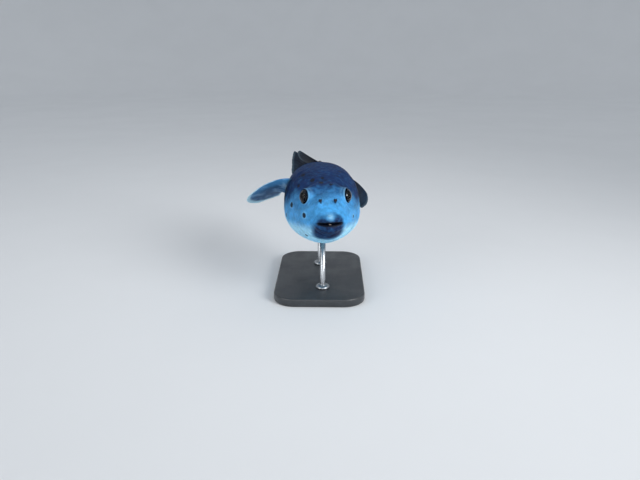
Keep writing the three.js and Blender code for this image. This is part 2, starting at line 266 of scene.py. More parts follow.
def rumple(points, size, octaves=3):
    """Smooth random heights, about -1 to 1, at points, with bumps of the given size."""
    flat = points.reshape(-1, 3) / size
    values = [noise.fractal(Vector(point), 1.0, 2.0, octaves) for point in flat]
    return np.array(values).reshape(points.shape[:-1])


# ---- Markings, shared by the skin and its prickles ----

# Ovals round the mouth: side and height of the middle, half width and half height.
DARK_CHIN = (-0.7, -7.2, 13.2, 11.6)
LOBE_LEFT, LOBE_RIGHT = (6.4, 1.6, 4.6, 5.2), (-5.8, 0.8, 5.2, 5.2)
BARE_CHIN = (-1.6, -7.4, 15.0, 14.0)
DARK_NOSTRIL = (16.0, 6.2, 13.8)  # s, side and height


def oval(side, height, shape, power=2.0):
    """1 on the edge of an oval, less inside it and more outside it."""
    middle, level, half_width, half_height = shape
    across = np.abs(side - middle) / half_width
    return across**power + (np.abs(height - level) / half_height) ** power


def distance(s, side, height, point):
    """Distance from a point in the fish's own terms, or from its twin on the other side."""
    away = (s - point[0], np.abs(side) - point[1], height - point[2])
    return np.sqrt(sum(part**2 for part in away))


def markings(s, side, height):
    """Strengths from 0 to 1 of the skin's colour areas at places in the fish's own terms.

    back, belly and dark mix those colours in, and wild lets scattered spots through.
    """
    width = np.abs(side)
    # the back's colour, partly the fish's darker back and partly painted shade over the top of
    # the head: forwards over the forehead, reaching further forward on the fish's left as painted
    # shade on that side, and down the temples behind the eyes
    front = rise(s + 0.25 * (height - 10) + 0.12 * side, 37, 59) * rise(height, -6, 10)
    temple = 0.4 * rise(s, 27, 42) * rise(height, -2, 7)
    beside_eye = rise(width, 7, 13) * rise(s, 40, 28)
    forehead = rise(s, 6, 46) * rise(height, 9, 19) * (1 - 0.45 * beside_eye)
    # the same colour round the mouth: chin and lower lip, and two lobes over the upper lip
    muzzle = rise(oval(side, height, DARK_CHIN, 2.8), 1.5, 0.4) * rise(s, 30, 22)
    lobes = np.where(
        side > 0, oval(side, height, LOBE_LEFT), oval(side, height, LOBE_RIGHT)
    )
    lobes = rise(np.sqrt(lobes), 1.35, 0.55) * rise(s, 10, 5)
    back = np.maximum.reduce([front, temple, forehead, 0.95 * muzzle, 0.9 * lobes])
    # the belly's colour, which also lies between the lobes
    waterline = 1 - 0.17 * np.minimum(s, 50) + 4 * rise(s, 60, 110)
    belly = rise(height, waterline, waterline - 9 - 8 * rise(s, 50, 90)) * (1 - muzzle)
    bridge = 0.5 * bell(side - 0.5, 2.4) * bell(height - 5.4, 2.2) * rise(s, 9, 5)
    belly = np.maximum(belly, bridge * (1 - lobes))
    # black markings, with painted shade in the mouth's slit and between the side fins and the
    # head
    # the mouth's slit: painted shade, black along the gap between the lips and narrowing to its
    # corners
    gape = np.sqrt(np.maximum(1 - (width / 12.4) ** 2, 0))
    mouth = rise(np.abs(height), 0.4 + 2.4 * gape, 0.2 + gape)
    mouth *= rise(width, 12.6, 9.0) * rise(s, 7.5, 4.5)
    dark = np.maximum.reduce([
        0.34 * muzzle,
        0.25 * lobes,
        mouth,
        0.9 * rise(distance(s, side, height, DARK_NOSTRIL), 2.2, 1.2),
        # the side fins' roots: the fish's dark patch there, deepened as painted shade between fin
        # and head
        0.8 * bell(s - 78, 14) * bell(height - 7, 13) * rise(width, 22, 27),  # side fins' roots
        0.85 * bell(s - 158, 15) * rise(height, 11, 16),  # back fin's root
        0.7 * bell(s - 158, 9) * rise(height, -14, -19),  # vent
        0.75 * rise(s, 182, 198),  # end of the tail
    ])
    return {"back": back, "belly": belly, "dark": dark, "wild": rise(s, 60, 72)}


SPOT_STRETCH = 0.62  # how much spots are squeezed across the body
# Spots of the face: s, side, height and radius.
FACE_SPOTS = (
    (20.3, -19.2, 2.7, 2.15),
    (46.5, -28.3, 4.6, 2.2),
    (29.8, -16.6, -17.8, 1.6),
    (51.2, -9.8, 25.2, 2.1),
    (42.2, -3.1, 24.4, 2.0),
    (52.2, -1.1, 26.6, 1.5),
    (37.5, 4.9, 23.7, 1.3),
    (68.9, -17.2, 25.8, 2.0),
    (54.8, -21.7, 19.5, 1.5),
    (27.3, 22.8, -1.5, 1.3),
    (80.3, 27.8, 20.1, 1.8),
    (60.0, 13.5, 27.4, 1.5),
    (48.0, 27.6, -8.0, 1.5),
    (60.0, -32.0, -8.0, 1.8),
)


# ---- Pieces: from bmesh to a finished object ----


def smooth_mesh(name, bm):
    """A mesh with smooth faces, made of a bmesh that is then given up."""
    mesh = bpy.data.meshes.new(name)
    bm.to_mesh(mesh)
    bm.free()
    for polygon in mesh.polygons:
        polygon.use_smooth = True
    return mesh


def add_object(name, data):
    made = bpy.data.objects.new(name, data)
    bpy.context.scene.collection.objects.link(made)
    return made


def lathe(bm, outline, steps, gap):
    """Turns an outline of distances and heights all the way round the upright axis."""
    verts = [bm.verts.new(Vector((out, 0, height))) for out, height in outline]
    edges = [bm.edges.new(pair) for pair in zip(verts, verts[1:])]
    bmesh.ops.spin(
        bm, geom=verts + edges, cent=Vector(), axis=Vector((0, 0, 1)),
        angle=2 * math.pi, steps=steps, use_merge=True,
    )
    bmesh.ops.remove_doubles(bm, verts=bm.verts, dist=gap)
    bmesh.ops.recalc_face_normals(bm, faces=bm.faces)


def node_box(name):
    """Lowest and highest corner of a node of the frame, in millimetres."""
    return (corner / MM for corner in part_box(name))


def frame_matrix(across, back, up, middle):
    """Matrix that turns X, Y and Z to across, back and up and moves the origin to middle."""
    made = np.eye(4)
    for column, way in enumerate((across, back, up, middle)):
        made[:3, column] = way
    return Matrix(made.tolist())


class Shape:
    """A bmesh in millimetres on its way to becoming a piece."""

    def __init__(self):
        self.bm = bmesh.new()

    def finish(self, name, material, slot, replaces=(), seat=None):
        """Turns the shape into a piece; seat is a matrix that first moves it to its place."""
        bm = self.bm
        if seat is not None:
            bmesh.ops.transform(bm, matrix=seat, verts=bm.verts)
        bmesh.ops.recalc_face_normals(bm, faces=bm.faces)
        bmesh.ops.scale(bm, vec=Vector((MM, MM, MM)), verts=bm.verts)
        mesh = smooth_mesh(name, bm)
        mesh.materials.append(material)
        piece = add_object(name, mesh)
        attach(piece, ROOT)
        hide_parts(*replaces)


def settings(context):
    scene = context.scene
    return scene.puffer_sizes, scene.puffer_colours, scene.puffer_stage


# ---- Materials ----


class Finish:
    """A procedural material, put together node by node."""

    def __init__(self, name, **surface):
        self.material = bpy.data.materials.new(name)
        self.material.use_nodes = True
        self.tree = self.material.node_tree
        self.surface = self.tree.nodes["Principled BSDF"].inputs
        self.where = self.node("ShaderNodeTexCoord").outputs["Object"]
        for socket, value in surface.items():
            self.put(self.surface[socket.replace("_", " ")], value)

    def put(self, socket, value):
        if isinstance(value, bpy.types.NodeSocket):
            self.tree.links.new(value, socket)
        elif socket.type == "RGBA":
            socket.default_value = (*value, 1.0)
        else:
            socket.default_value = value

    def node(self, kind, *values, **options):
        made = self.tree.nodes.new(kind)
        for option, value in options.items():
            setattr(made, option, value)
        for index, value in enumerate(values):
            if value is not None:
                self.put(made.inputs[index], value)
        return made

    def maths(self, operation, *values, clamp=False):
        made = self.node("ShaderNodeMath", *values, operation=operation, use_clamp=clamp)
        return made.outputs[0]

    def times(self, first, second):
        return self.maths("MULTIPLY", first, second)

    def vector(self, operation, *values, output="Vector"):
        made = self.node("ShaderNodeVectorMath", *values, operation=operation)
        return made.outputs[output]

    def mix(self, share, first, second, blend="MIX"):
        made = self.node("ShaderNodeMix", data_type="RGBA", blend_type=blend)
        for index, value in ((0, share), (6, first), (7, second)):
            self.put(made.inputs[index], value)
        return made.outputs[2]

    def spread(self, value, low, high, to_low=0.0, to_high=1.0, kind="SMOOTHSTEP"):
        """The range from low to high of a value, eased into the range of the other two."""
        made = self.node("ShaderNodeMapRange", value, low, high, to_low, to_high)
        made.interpolation_type = kind
        return made.outputs[0]

    def slope(self, *values):
        """As spread, but straight."""
        return self.spread(*values, kind="LINEAR")

    def texture(self, made, size, where, **inputs):
        inputs |= {"Vector": where or self.where, "Scale": 1 / (size * MM)}
        for name, value in inputs.items():
            self.put(made.inputs[name], value)
        return made.outputs

    def noise(self, size, detail=3.0, roughness=0.55, where=None, output="Fac"):
        """Soft noise with bumps of a size in millimetres."""
        made = self.node("ShaderNodeTexNoise")
        return self.texture(made, size, where, Detail=detail, Roughness=roughness)[output]

    def cells(self, size, where=None, output="Distance", **options):
        """Cells of a size in millimetres."""
        return self.texture(self.node("ShaderNodeTexVoronoi", **options), size, where)[output]

    def attribute(self, name):
        return self.node("ShaderNodeAttribute", attribute_name=name).outputs["Fac"]

    def shifted(self, point, amount, size):
        """Coordinates pushed about by noise, so that edges drawn on them turn uneven."""
        source = self.noise(size, 2.0, 0.5, point, "Color")
        centred = self.vector("SUBTRACT", source, (0.5, 0.5, 0.5))
        return self.vector("ADD", point, self.vector("SCALE", centred, None, None, amount * MM))

    def bump(self, height, depth, strength=1.0, under=None):
        """Surface raised by up to a depth in millimetres, over the bumps of another one."""
        made = self.node("ShaderNodeBump")
        inputs = {"Strength": strength, "Distance": depth * MM, "Height": height}
        if under is not None:
            inputs["Normal"] = under
        for name, value in inputs.items():
            self.put(made.inputs[name], value)
        return made.outputs["Normal"]

    def wear(self, colour, roughness=None, normal=None):
        """The finished material."""
        for name, value in (("Base Color", colour), ("Roughness", roughness), ("Normal", normal)):
            if value is not None:
                self.put(self.surface[name], value)
        return self.material


def dimmed(colour, share):
    return tuple(part * share for part in colour)


WILD_SPACING = 9.5  # between the scattered spots behind the head


def spot_mask(finish):
    """1 inside a spot and 0 outside, with soft uneven edges, and the same for its halo."""
    uneven = finish.shifted(finish.where, 1.5, 2.6)
    squeezed = (1.0, SPOT_STRETCH, 1.0)
    along = finish.vector("MULTIPLY", uneven, squeezed)
    nearest = None
    for s, side, height, radius in FACE_SPOTS:
        centre = tuple(place(s, side, height) * MM * squeezed)
        away = finish.vector("DISTANCE", along, centre, output="Value")
        depth = finish.maths("SUBTRACT", away, radius * MM)
        nearest = depth if nearest is None else finish.maths("MINIMUM", nearest, depth)
    face = finish.spread(nearest, 0.4 * MM, -0.3 * MM)
    halo = finish.spread(nearest, 1.5 * MM, 0.5 * MM)
    size = finish.cells(WILD_SPACING, uneven, "Color")
    limit = finish.slope(size, 0.1, 0.9, 0.05, 0.27)
    past = finish.maths("SUBTRACT", finish.cells(WILD_SPACING, uneven), limit)
    scattered = finish.times(finish.spread(past, 0.03, -0.03), finish.attribute("wild"))
    return finish.maths("MAXIMUM", face, scattered), halo


def fish_colour(finish, colours):
    """The skin's colour and the share of black in it, for the skin and the prickles alike."""
    edge = finish.slope(finish.noise(4.5), 0.3, 0.7, -0.16, 0.16)
    back = finish.maths("ADD", finish.attribute("back"), edge, clamp=True)
    tone = finish.mix(back, colours.face, colours.back)
    ragged = finish.times(edge, finish.spread(finish.attribute("belly"), 0.0, 0.4, 0.0, 1.6))
    below = finish.maths("ADD", finish.attribute("belly"), ragged, clamp=True)
    tone = finish.mix(below, tone, colours.belly)
    # clouds, marbling and a fine grain
    shade = finish.times(
        finish.slope(finish.noise(17.0), 0.3, 0.7, 0.78, 1.16),
        finish.spread(finish.noise(5.0, 5.0, 0.62), 0.32, 0.66, 0.84, 1.16),
    )
    shade = finish.times(shade, finish.slope(finish.noise(1.5, 4.0, 0.7), 0.25, 0.75, 0.82, 1.14))
    grey = finish.node("ShaderNodeCombineColor", shade, shade, shade).outputs[0]
    tone = finish.mix(1.0, tone, grey, blend="MULTIPLY")
    spots, halo = spot_mask(finish)
    pale = finish.times(halo, finish.spread(back, 0.0, 0.6, 0.22, 0.0))
    tone = finish.mix(pale, tone, colours.belly)
    # painted highlight round the eyes and on the lids, in the belly's colour
    tone = finish.mix(finish.attribute("ring"), tone, colours.belly)
    share = finish.attribute("dark")
    ragged = finish.times(edge, finish.spread(share, 0.0, 0.3))
    dark = finish.spread(finish.maths("ADD", share, ragged, clamp=True), 0.0, 0.95)
    black = finish.maths("MAXIMUM", dark, finish.times(spots, 0.96))
    return finish.mix(black, tone, colours.spot), black


def skin_finish(colours):
    finish = Finish(
        "puffer_skin",
        Subsurface_Weight=0.06,
        Subsurface_Radius=(0.6, 1.0, 1.3),
        Subsurface_Scale=0.0012,
        Specular_IOR_Level=0.13,
    )
    colour, black = fish_colour(finish, colours)
    pores = finish.cells(0.75, feature="SMOOTH_F1")
    leather = finish.noise(2.2, 5.0, 0.65)
    roughness = finish.slope(leather, 0.2, 0.8, 0.46, 0.66)
    roughness = finish.maths("SUBTRACT", roughness, finish.times(black, 0.08))
    coarse = finish.bump(leather, 0.35, 0.7)
    return finish.wear(colour, roughness, finish.bump(pores, 0.12, 0.6, coarse))


def prickle_finish(colours):
    """The skin's colours, paler all over and most at the tips, partly the prickles' own pale
    colour and partly a painted highlight where they catch the light, except on dark markings and
    the dark back.
    """
    finish = Finish("puffer_prickles", Subsurface_Weight=0.3, Subsurface_Scale=0.0005,
                    Specular_IOR_Level=0.1)
    colour, black = fish_colour(finish, colours)
    # painted highlight on the prickles, most at their tips, over their own pale colour
    light = finish.spread(finish.attribute("tip"), 0.0, 1.0, 0.22, 0.5)
    dark = finish.maths("MAXIMUM", black, finish.attribute("back"))
    light = finish.times(light, finish.spread(dark, 0.0, 1.0, 1.0, 0.01))
    colour = finish.mix(light, colour, colours.belly)
    return finish.wear(colour, finish.spread(finish.noise(3.0), 0.3, 0.7, 0.42, 0.58))


def fin_finish(name, colours, rays, dark_root, pale_rays=0.45, pale_rim=1.0, depth=1.0):
    """Membrane and rays in a UV map that runs along the rays in X and across them in Y.

    dark_root is how far the dark root reaches along the rays, pale_rays and pale_rim how pale
    rays and margin are, and depth how bright the membrane is, which below 1 is painted shade for
    fins in shade.
    """
    finish = Finish(
        name,
        Subsurface_Weight=0.2,
        Subsurface_Radius=(0.7, 1.0, 1.2),
        Subsurface_Scale=0.0012,
        Specular_IOR_Level=0.15 + 0.15 * depth,
    )
    uv = finish.node("ShaderNodeUVMap", uv_map="Fin").outputs[0]
    split = finish.node("ShaderNodeSeparateXYZ", uv)
    along, across = split.outputs["X"], split.outputs["Y"]
    blotch = finish.noise(9.0, 4.0)
    lengthwise = finish.node(
        "ShaderNodeCombineXYZ", finish.times(along, 2.5), finish.times(across, float(rays))
    ).outputs[0]
    fibre = finish.noise(1 / 3 / MM, 4.0, 0.5, lengthwise)
    share = finish.spread(blotch, 0.35, 0.65)
    # depth below 1 dims the membrane as painted shade
    tone = finish.mix(share, dimmed(colours.fin, 0.45 * depth), dimmed(colours.fin, depth))
    tone = finish.mix(finish.times(finish.attribute("ridge"), pale_rays), tone, colours.face)
    tone = finish.mix(finish.spread(fibre, 0.4, 0.8, 0.0, 0.35), tone, colours.back)
    tone = finish.mix(finish.attribute("lead"), tone, colours.face)
    root = finish.spread(along, dark_root, 0.25 * dark_root)
    tone = finish.mix(finish.times(root, 0.85), tone, colours.spot)
    ragged = finish.spread(blotch, 0.3, 0.7, -0.2, 0.2)
    rim = finish.maths("ADD", finish.attribute("rim"), ragged, clamp=True)
    tone = finish.mix(finish.times(rim, pale_rim), tone, colours.fin_edge)
    roughness = finish.spread(fibre, 0.3, 0.7, 0.48, 0.64)
    return finish.wear(tone, roughness, finish.bump(fibre, 0.12, 0.5))


# Near-black colours of the eye, already linear.
PUPIL = (0.001, 0.001, 0.002)
IRIS_EDGE = (0.006, 0.009, 0.014)
BALL_SIDE = (0.01, 0.014, 0.02)


def eye_finish(colours, eye):
    """Iris and pupil round the eye's own axis."""
    finish = Finish(f"puffer_{eye.name}", Specular_IOR_Level=0.0)
    away = finish.vector("SUBTRACT", finish.where, tuple(eye.centre * MM))
    axis = tuple(eye.axis)
    ahead = finish.vector("DOT_PRODUCT", away, axis, output="Value")
    beside = finish.vector("CROSS_PRODUCT", away, axis)
    out = finish.maths("DIVIDE", finish.vector("LENGTH", beside, output="Value"), MM)
    streaks = finish.noise(0.09 / MM, 4.0, 0.7, finish.vector("NORMALIZE", away))
    wavy = finish.maths("ADD", out, finish.spread(streaks, 0.3, 0.7, -0.12, 0.12))
    tone = finish.mix(finish.spread(streaks, 0.4, 0.66), colours.iris, srgb(26, 32, 42))
    ring = finish.times(finish.spread(wavy, 2.95, 3.1), finish.spread(wavy, 3.5, 3.2))
    tone = finish.mix(finish.times(ring, 0.16), tone, colours.ring)
    tone = finish.mix(finish.spread(out, 3.08, 2.98), tone, PUPIL)
    tone = finish.mix(finish.spread(wavy, 4.3, 5.1), tone, IRIS_EDGE)
    front = finish.spread(ahead, 1.5 * MM, 3.0 * MM)
    tone = finish.mix(front, BALL_SIDE, tone)
    roughness = finish.spread(streaks, 0.3, 0.7, 0.3, 0.4)
    return finish.wear(tone, roughness, finish.bump(streaks, 0.02, 0.2))


def cornea_finish():
    finish = Finish("puffer_cornea", Transmission_Weight=1.0, Roughness=0.0, IOR=1.2)
    return finish.wear(finish.mix(finish.noise(4.0), (0.97, 0.985, 1.0), (1.0, 1.0, 1.0)))


def beak_finish(colours):
    """Stained tooth that turns to gum away from the mouth's line."""
    finish = Finish("puffer_beak", Coat_Weight=0.4, Coat_Roughness=0.12)
    height = finish.node("ShaderNodeSeparateXYZ", finish.where).outputs["Z"]
    away = finish.maths("ABSOLUTE", finish.maths("SUBTRACT", height, SNOUT[2] * MM))
    gum = finish.spread(away, 1.3 * MM, 2.6 * MM)
    stain = finish.noise(1.4, 4.0)
    stained = finish.spread(stain, 0.45, 0.75, 0.0, 0.5)
    tone = finish.mix(stained, colours.tooth, srgb(196, 172, 150))
    tone = finish.mix(finish.times(gum, 0.6), tone, srgb(206, 150, 146))
    roughness = finish.spread(stain, 0.3, 0.7, 0.2, 0.36)
    return finish.wear(tone, roughness, finish.bump(finish.noise(0.7, 2.0), 0.08, 0.4))


def flap_finish(colours):
    finish = Finish("puffer_nose_flaps", Subsurface_Weight=0.1, Subsurface_Scale=0.0006,
                    Specular_IOR_Level=0.2)
    mottle = finish.noise(1.1, 4.0)
    tone = finish.mix(finish.spread(mottle, 0.45, 0.7, 0.0, 0.5), colours.spot, colours.back)
    tone = finish.mix(finish.times(finish.attribute("tip"), 0.06), tone, colours.face)
    roughness = finish.spread(mottle, 0.3, 0.7, 0.38, 0.55)
    return finish.wear(tone, roughness, finish.bump(mottle, 0.12, 0.6))


def stretched(finish, *scale):
    mapping = finish.node("ShaderNodeMapping", finish.where)
    mapping.inputs["Scale"].default_value = scale
    return mapping.outputs[0]


def paint_finish(colours):
    """Satin paint over wood whose grain runs along the base."""
    finish = Finish("stand_paint", Coat_Weight=0.25, Coat_Roughness=0.22)
    lengthwise = stretched(finish, 1.0, 0.06, 1.0)
    grain = finish.noise(1.6, 6.0, 0.6, lengthwise)
    rings = finish.noise(9.0, 2.0, 0.5, lengthwise)
    dust = finish.noise(24.0, 4.0)
    paint = colours.paint
    tone = finish.mix(finish.spread(grain, 0.35, 0.7, 0.0, 0.5), paint, dimmed(paint, 1.5))
    tone = finish.mix(finish.spread(rings, 0.45, 0.75, 0.0, 0.5), tone, dimmed(paint, 0.6))
    roughness = finish.spread(dust, 0.3, 0.7, 0.34, 0.52)
    return finish.wear(tone, roughness, finish.bump(grain, 0.15, 0.5))


def steel_finish(colours):
    """Steel brushed round the rods."""
    finish = Finish("stand_steel", Metallic=1.0, Anisotropic=0.35)
    brush = finish.noise(0.35, 4.0, 0.7, stretched(finish, 0.1, 0.1, 1.0))
    steel = colours.steel
    tone = finish.mix(finish.spread(brush, 0.3, 0.7), dimmed(steel, 0.9), steel)
    smear = finish.spread(finish.noise(7.0), 0.5, 0.75, 0.0, 0.2)
    tone = finish.mix(smear, tone, srgb(150, 155, 160))
    roughness = finish.spread(brush, 0.3, 0.7, 0.24, 0.34)
    return finish.wear(tone, roughness, finish.bump(brush, 0.012, 0.4))


def floor_finish(colours):
    finish = Finish("studio_floor", Specular_IOR_Level=0.3)
    mottle = finish.noise(180.0)
    share = finish.spread(mottle, 0.3, 0.7, 0.0, 0.25)
    tone = finish.mix(share, colours.floor, dimmed(colours.floor, 0.93))
    return finish.wear(tone, finish.spread(mottle, 0.3, 0.7, 0.6, 0.75))


# ---- Eyes: where the solids hold them ----


class Eye:
    """One eye: its name, the middle of its ball, its radius and the way it looks."""

    def __init__(self, name, side):
        self.name = f"eye_{name}"
        self.side = side
        low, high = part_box(self.name)
        self.centre = np.array((low + high) / 2) / MM
        self.radius = (high.y - low.y) / 2 / MM
        outwards, back, up = EYE_AXIS
        self.axis = direction(EYE_STATION, side * outwards, back, up)
        self.up = unit(UP - self.axis * self.axis[2])
        self.over = np.cross(self.axis, self.up)

    def polar(self, points):
        """Height of points along the eye's axis, and their distance from it."""
        away = points - self.centre
        ahead = away @ self.axis
        return ahead, np.linalg.norm(away - ahead[..., None] * self.axis, axis=-1)

    def basis(self):
        """Matrix that carries a shape made round +Z at the origin to the eye."""
        return frame_matrix(self.up, self.over, self.axis, self.centre)


EYES = (Eye("left", 1), Eye("right", -1))
SOCKET = 7.0  # radius at which the skin turns up into the lid
NEAR_EYE = 13.0  # skin this near the middle of an eyeball may be cut away
# Painted light round the eyes: a pale painted highlight round each eye and on the lid, a little
# painted shade on the lid, and dark painted shade in the socket behind the ball.
ROUND_EYE_HIGHLIGHT, LID_HIGHLIGHT, LID_SHADE, SOCKET_SHADE = 0.16, 0.2, 0.12, 0.85
LID_INNER_EDGE = 6.3  # distance from the eye's axis where the lid ends and the socket starts
# Lid from its foot to behind the eyeball: distance from the eye's axis, and along it.
LID = ((6.86, 2.62), (6.7, 2.92), (6.52, 3.18), (6.34, 3.36), (6.16, 3.44), (6.0, 3.4),
       (5.88, 3.24), (5.78, 2.95), (5.6, 2.5), (4.9, 1.8), (2.8, 1.4))


# ---- Skin ----

# How far apart the rings of the skin lie at each s.
RING_STATIONS = (0, 6, 12, 24, 42, 50, 67, 69.5, 73.5, 76, 90, 145, 210)
RING_SPACING = (0.36, 0.42, 0.5, 0.52, 0.56, 0.8, 0.8, 0.34, 0.34, 0.8, 0.95, 1.0, 0.9)
AROUND = 248
COAT_DEPTH = 0.4


def skin_places():
    """Place along ROWS of each ring of the skin, and the angles of its vertices."""
    fine = np.linspace(0, LAST_ROW, 4001)
    s, side, top = section(fine)[:3]
    step = np.hypot(np.diff(s), np.maximum(np.abs(np.diff(side)), np.abs(np.diff(top))))
    spacing = np.where(fine < LIP_ROW, 0.45, np.interp(s, RING_STATIONS, RING_SPACING))
    count = np.concatenate([[0], np.cumsum(step / spacing[1:])])
    rings = int(count[-1])
    p = np.interp(np.linspace(0, count[-1], rings + 1), count, fine)
    turn = np.linspace(-0.5 * math.pi, 1.5 * math.pi, 1441)
    _, side, height = skin_terms(p[:, None], turn[None, :])
    step = np.hypot(np.diff(side, axis=1), np.diff(height, axis=1)) + 1e-9
    run = np.concatenate([np.zeros((rings + 1, 1)), np.cumsum(step, axis=1)], axis=1)
    share = np.linspace(0, 1, AROUND + 1)
    angle = np.array([np.interp(share * row[-1], row, turn) for row in run])
    return p, angle


def outward(points):
    """Normals of a grid of points whose rows run back and whose columns run round."""
    back = np.gradient(points, axis=0)
    wrapped = np.concatenate([points[:, -2:-1], points, points[:, 1:2]], axis=1)
    return unit(np.cross(back, wrapped[:, 2:] - wrapped[:, :-2]))


def swollen(points, centre, ways, half, blend, reach=1.9):
    """Points raised to the surface of an ellipsoid. ways is the way out and the two others."""
    away = points - centre
    ahead = away @ ways[0]
    out = np.hypot(away @ ways[1] / half[1], away @ ways[2] / half[2])
    cap = half[0] * (np.sqrt(np.maximum(1 - out**2, 0)) - 1.3 * np.maximum(out - 1, 0))
    raised = 0.5 * (ahead + cap + np.sqrt((ahead - cap) ** 2 + blend**2))
    share = rise(out, reach, 1.2) * rise(ahead, -2.2 * half[0], -1.2 * half[0])
    return points + ((raised - ahead) * share)[..., None] * ways[0]


def seated(points, eye):
    """Points swollen into a brow round the eye and lowered where they would cover it."""
    ways = (eye.axis, eye.up, eye.over)
    brow = eye.centre - eye.axis * BROW_SUNK
    points = swollen(points, brow, ways, (BROW_RADIUS,) * 3, 1.6)
    ahead, out = eye.polar(points)
    ceiling = 2.5 + 0.55 * np.maximum(out - SOCKET, 0)
    lowered = 0.5 * (ahead + ceiling - np.sqrt((ahead - ceiling) ** 2 + 1.0))
    share = rise(out, 15.0, 9.0) * rise(ahead, -6, -3)
    return points + ((lowered - ahead) * share)[..., None] * eye.axis


def creases(points, s, side, height, angle, depth):
    """How far the skin stands above its plain shape: folds, gill slit and fine wrinkles."""
    width = np.abs(side)
    soft = rumple(points, 11.0)
    fine = rumple(points * np.array([1, 0.5, 1]), 2.6, 2)
    total = 0.22 * soft * rise(s, 8, 40) + 0.07 * fine * rise(s, 4, 12)
    # loose skin of the belly lies in shallow folds that run along it
    along = height * 1.25 + 1.6 * soft + 0.05 * s
    loose = rise(height, -14, -26) * rise(s, 30, 60) * rise(s, 165, 135)
    total -= depth * loose * (0.5 + 0.5 * np.cos(along * 1.9)) ** 2
    # gill slit in front of the pectoral fin, under the edge of its cover
    up = (height - GILL["height"]) / GILL["half"]
    centre = GILL["s"] + 1.3 * up**2
    window = rise(np.abs(up), 1.25, 0.55) * rise(width, GILL["side"], GILL["side"] + 3)
    total -= 1.7 * bell(s - centre, 0.8) * window
    total += 0.6 * bell(s - centre + 2.4, 2.0) * window
    # a fold behind the lips, deepest at the corners of the mouth, and one under the chin
    corner = rise(width, 7, 14) * bell(height + 0.5, 6)
    total -= (0.28 + 0.7 * corner) * bell(s - 8.2 - 0.9 * corner, 1.15)
    total -= 0.35 * bell(s - 15.5, 1.5) * rise(height, -9, -14) * rise(width, 12, 6)
    # the lips' fine upright creases
    lips = rise(s, 7.0, 4.6) * rise(np.abs(height), 1.2, 2.4)
    total -= 0.13 * lips * (0.5 + 0.5 * np.sin(angle * 58 + 3 * fine)) ** 3
    # smile lines fanning from the corners of the mouth, and folds behind the eyes
    fan = np.sin(np.arctan2(height + 1, np.maximum(s - 8, 0.1)) * 9)
    total -= 0.16 * bell(s - 15, 4.5) * rise(width, 10, 15) * bell(height, 9) * fan**2
    return total


def pectoral_root(points, side):
    """Points swollen into the fleshy root of a pectoral fin; side is 1 or -1."""
    s = PECTORAL_S
    lean = math.radians(24)
    back = direction(s, 0, 1, 0)
    out = direction(s, side * math.cos(lean), 0, math.sin(lean))
    ways = (out, back, np.cross(out, back))
    return swollen(points, place(s, side * 28.4, 12.5), ways, (2.9, 6, 10.5), 1.2)


def nostril_mound(points, side):
    """Points swollen under the flap of a nostril; side is 1 or -1."""
    s, away, height = NOSTRIL
    slope = 0.45
    ways = (direction(s, 0, -slope, 1), direction(s, 1, 0, 0), direction(s, 0, 1, slope))
    return swollen(points, place(s, side * away, height - 0.9), ways, (1.25, 2.3, 1.9), 0.5)


def middle_root(points, s, height, upwards):
    """Points swollen into the root of the fin on the back or below it."""
    ways = (direction(s, 0, 0, upwards), direction(s, 1, 0, 0), direction(s, 0, 1, 0))
    return swollen(points, place(s, 0, height), ways, (4, 3, 12), 1.4)


def skin_grid(sizes):
    """Points of the skin by ring and column, their places on the fish and their markings."""
    p, angle = skin_places()
    s, side, height = skin_terms(p[:, None], angle, COAT_DEPTH)
    points = place(s, side, height)
    raised = creases(points, s, side, height, angle, sizes.wrinkle_depth / MM)
    points = points + outward(points) * raised[..., None]
    for eye in EYES:
        points = seated(points, eye)
        points = pectoral_root(points, eye.side)
        points = nostril_mound(points, eye.side)
    points = middle_root(points, 157, 17.3, 1)
    points = middle_root(points, 161, -18.8, -1)
    areas = {**markings(s, side, height), "ring": np.zeros_like(s)}
    return {"points": points, "s": s, "side": side, "height": height, "areas": areas}


def skin_shape(grid):
    """The skin as a closed mesh with open eyes, lids and eye sockets."""
    points, areas = grid["points"], grid["areas"]
    shape = Shape()
    bm = shape.bm
    rings = len(points) - 1
    bmesh.ops.create_grid(bm, x_segments=AROUND, y_segments=rings, size=1.0)
    layers = {name: bm.verts.layers.float.new(name) for name in areas}
    for vert in bm.verts:
        ring = round((vert.co.y + 1) / 2 * rings)
        column = round((vert.co.x + 1) / 2 * AROUND)
        vert.co = points[ring, column]
        for name, layer in layers.items():
            vert[layer] = areas[name][ring, column]
    bmesh.ops.remove_doubles(bm, verts=bm.verts, dist=0.004)
    for eye in EYES:
        cut_socket(bm, eye, layers["ring"], layers["dark"])
    return shape


def closed_loop(edges):
    """Vertices of a closed run of edges, in order."""
    chosen = set(edges)
    number = len({vert for edge in edges for vert in edge.verts})
    loop = [edges[0].verts[0], edges[0].verts[1]]
    while len(loop) < number:
        last = loop[-1]
        steps = [edge.other_vert(last) for edge in last.link_edges if edge in chosen]
        loop.append(steps[0] if steps[0] is not loop[-2] else steps[1])
    return loop


def even_out(loop, eye):
    """Turns a cut edge that runs in steps into a smooth ring round the eye's axis."""
    centre, axis = Vector(eye.centre), Vector(eye.axis)
    away = np.array([vert.co - centre for vert in loop])
    level = away @ eye.axis
    turn = np.unwrap(np.arctan2(away @ eye.over, away @ eye.up))
    full = round((turn[-1] - turn[0]) / (2 * math.pi) * 1.02) * 2 * math.pi
    even = turn - full * np.arange(len(loop)) / len(loop)
    for _ in range(30):
        even = 0.5 * even + 0.25 * (np.roll(even, 1) + np.roll(even, -1))
        level = 0.5 * level + 0.25 * (np.roll(level, 1) + np.roll(level, -1))
    turn = even + full * np.arange(len(loop)) / len(loop)
    for index, vert in enumerate(loop):
        out = math.cos(turn[index]) * eye.up + math.sin(turn[index]) * eye.over
        vert.co = centre + axis * level[index] + Vector(out) * SOCKET


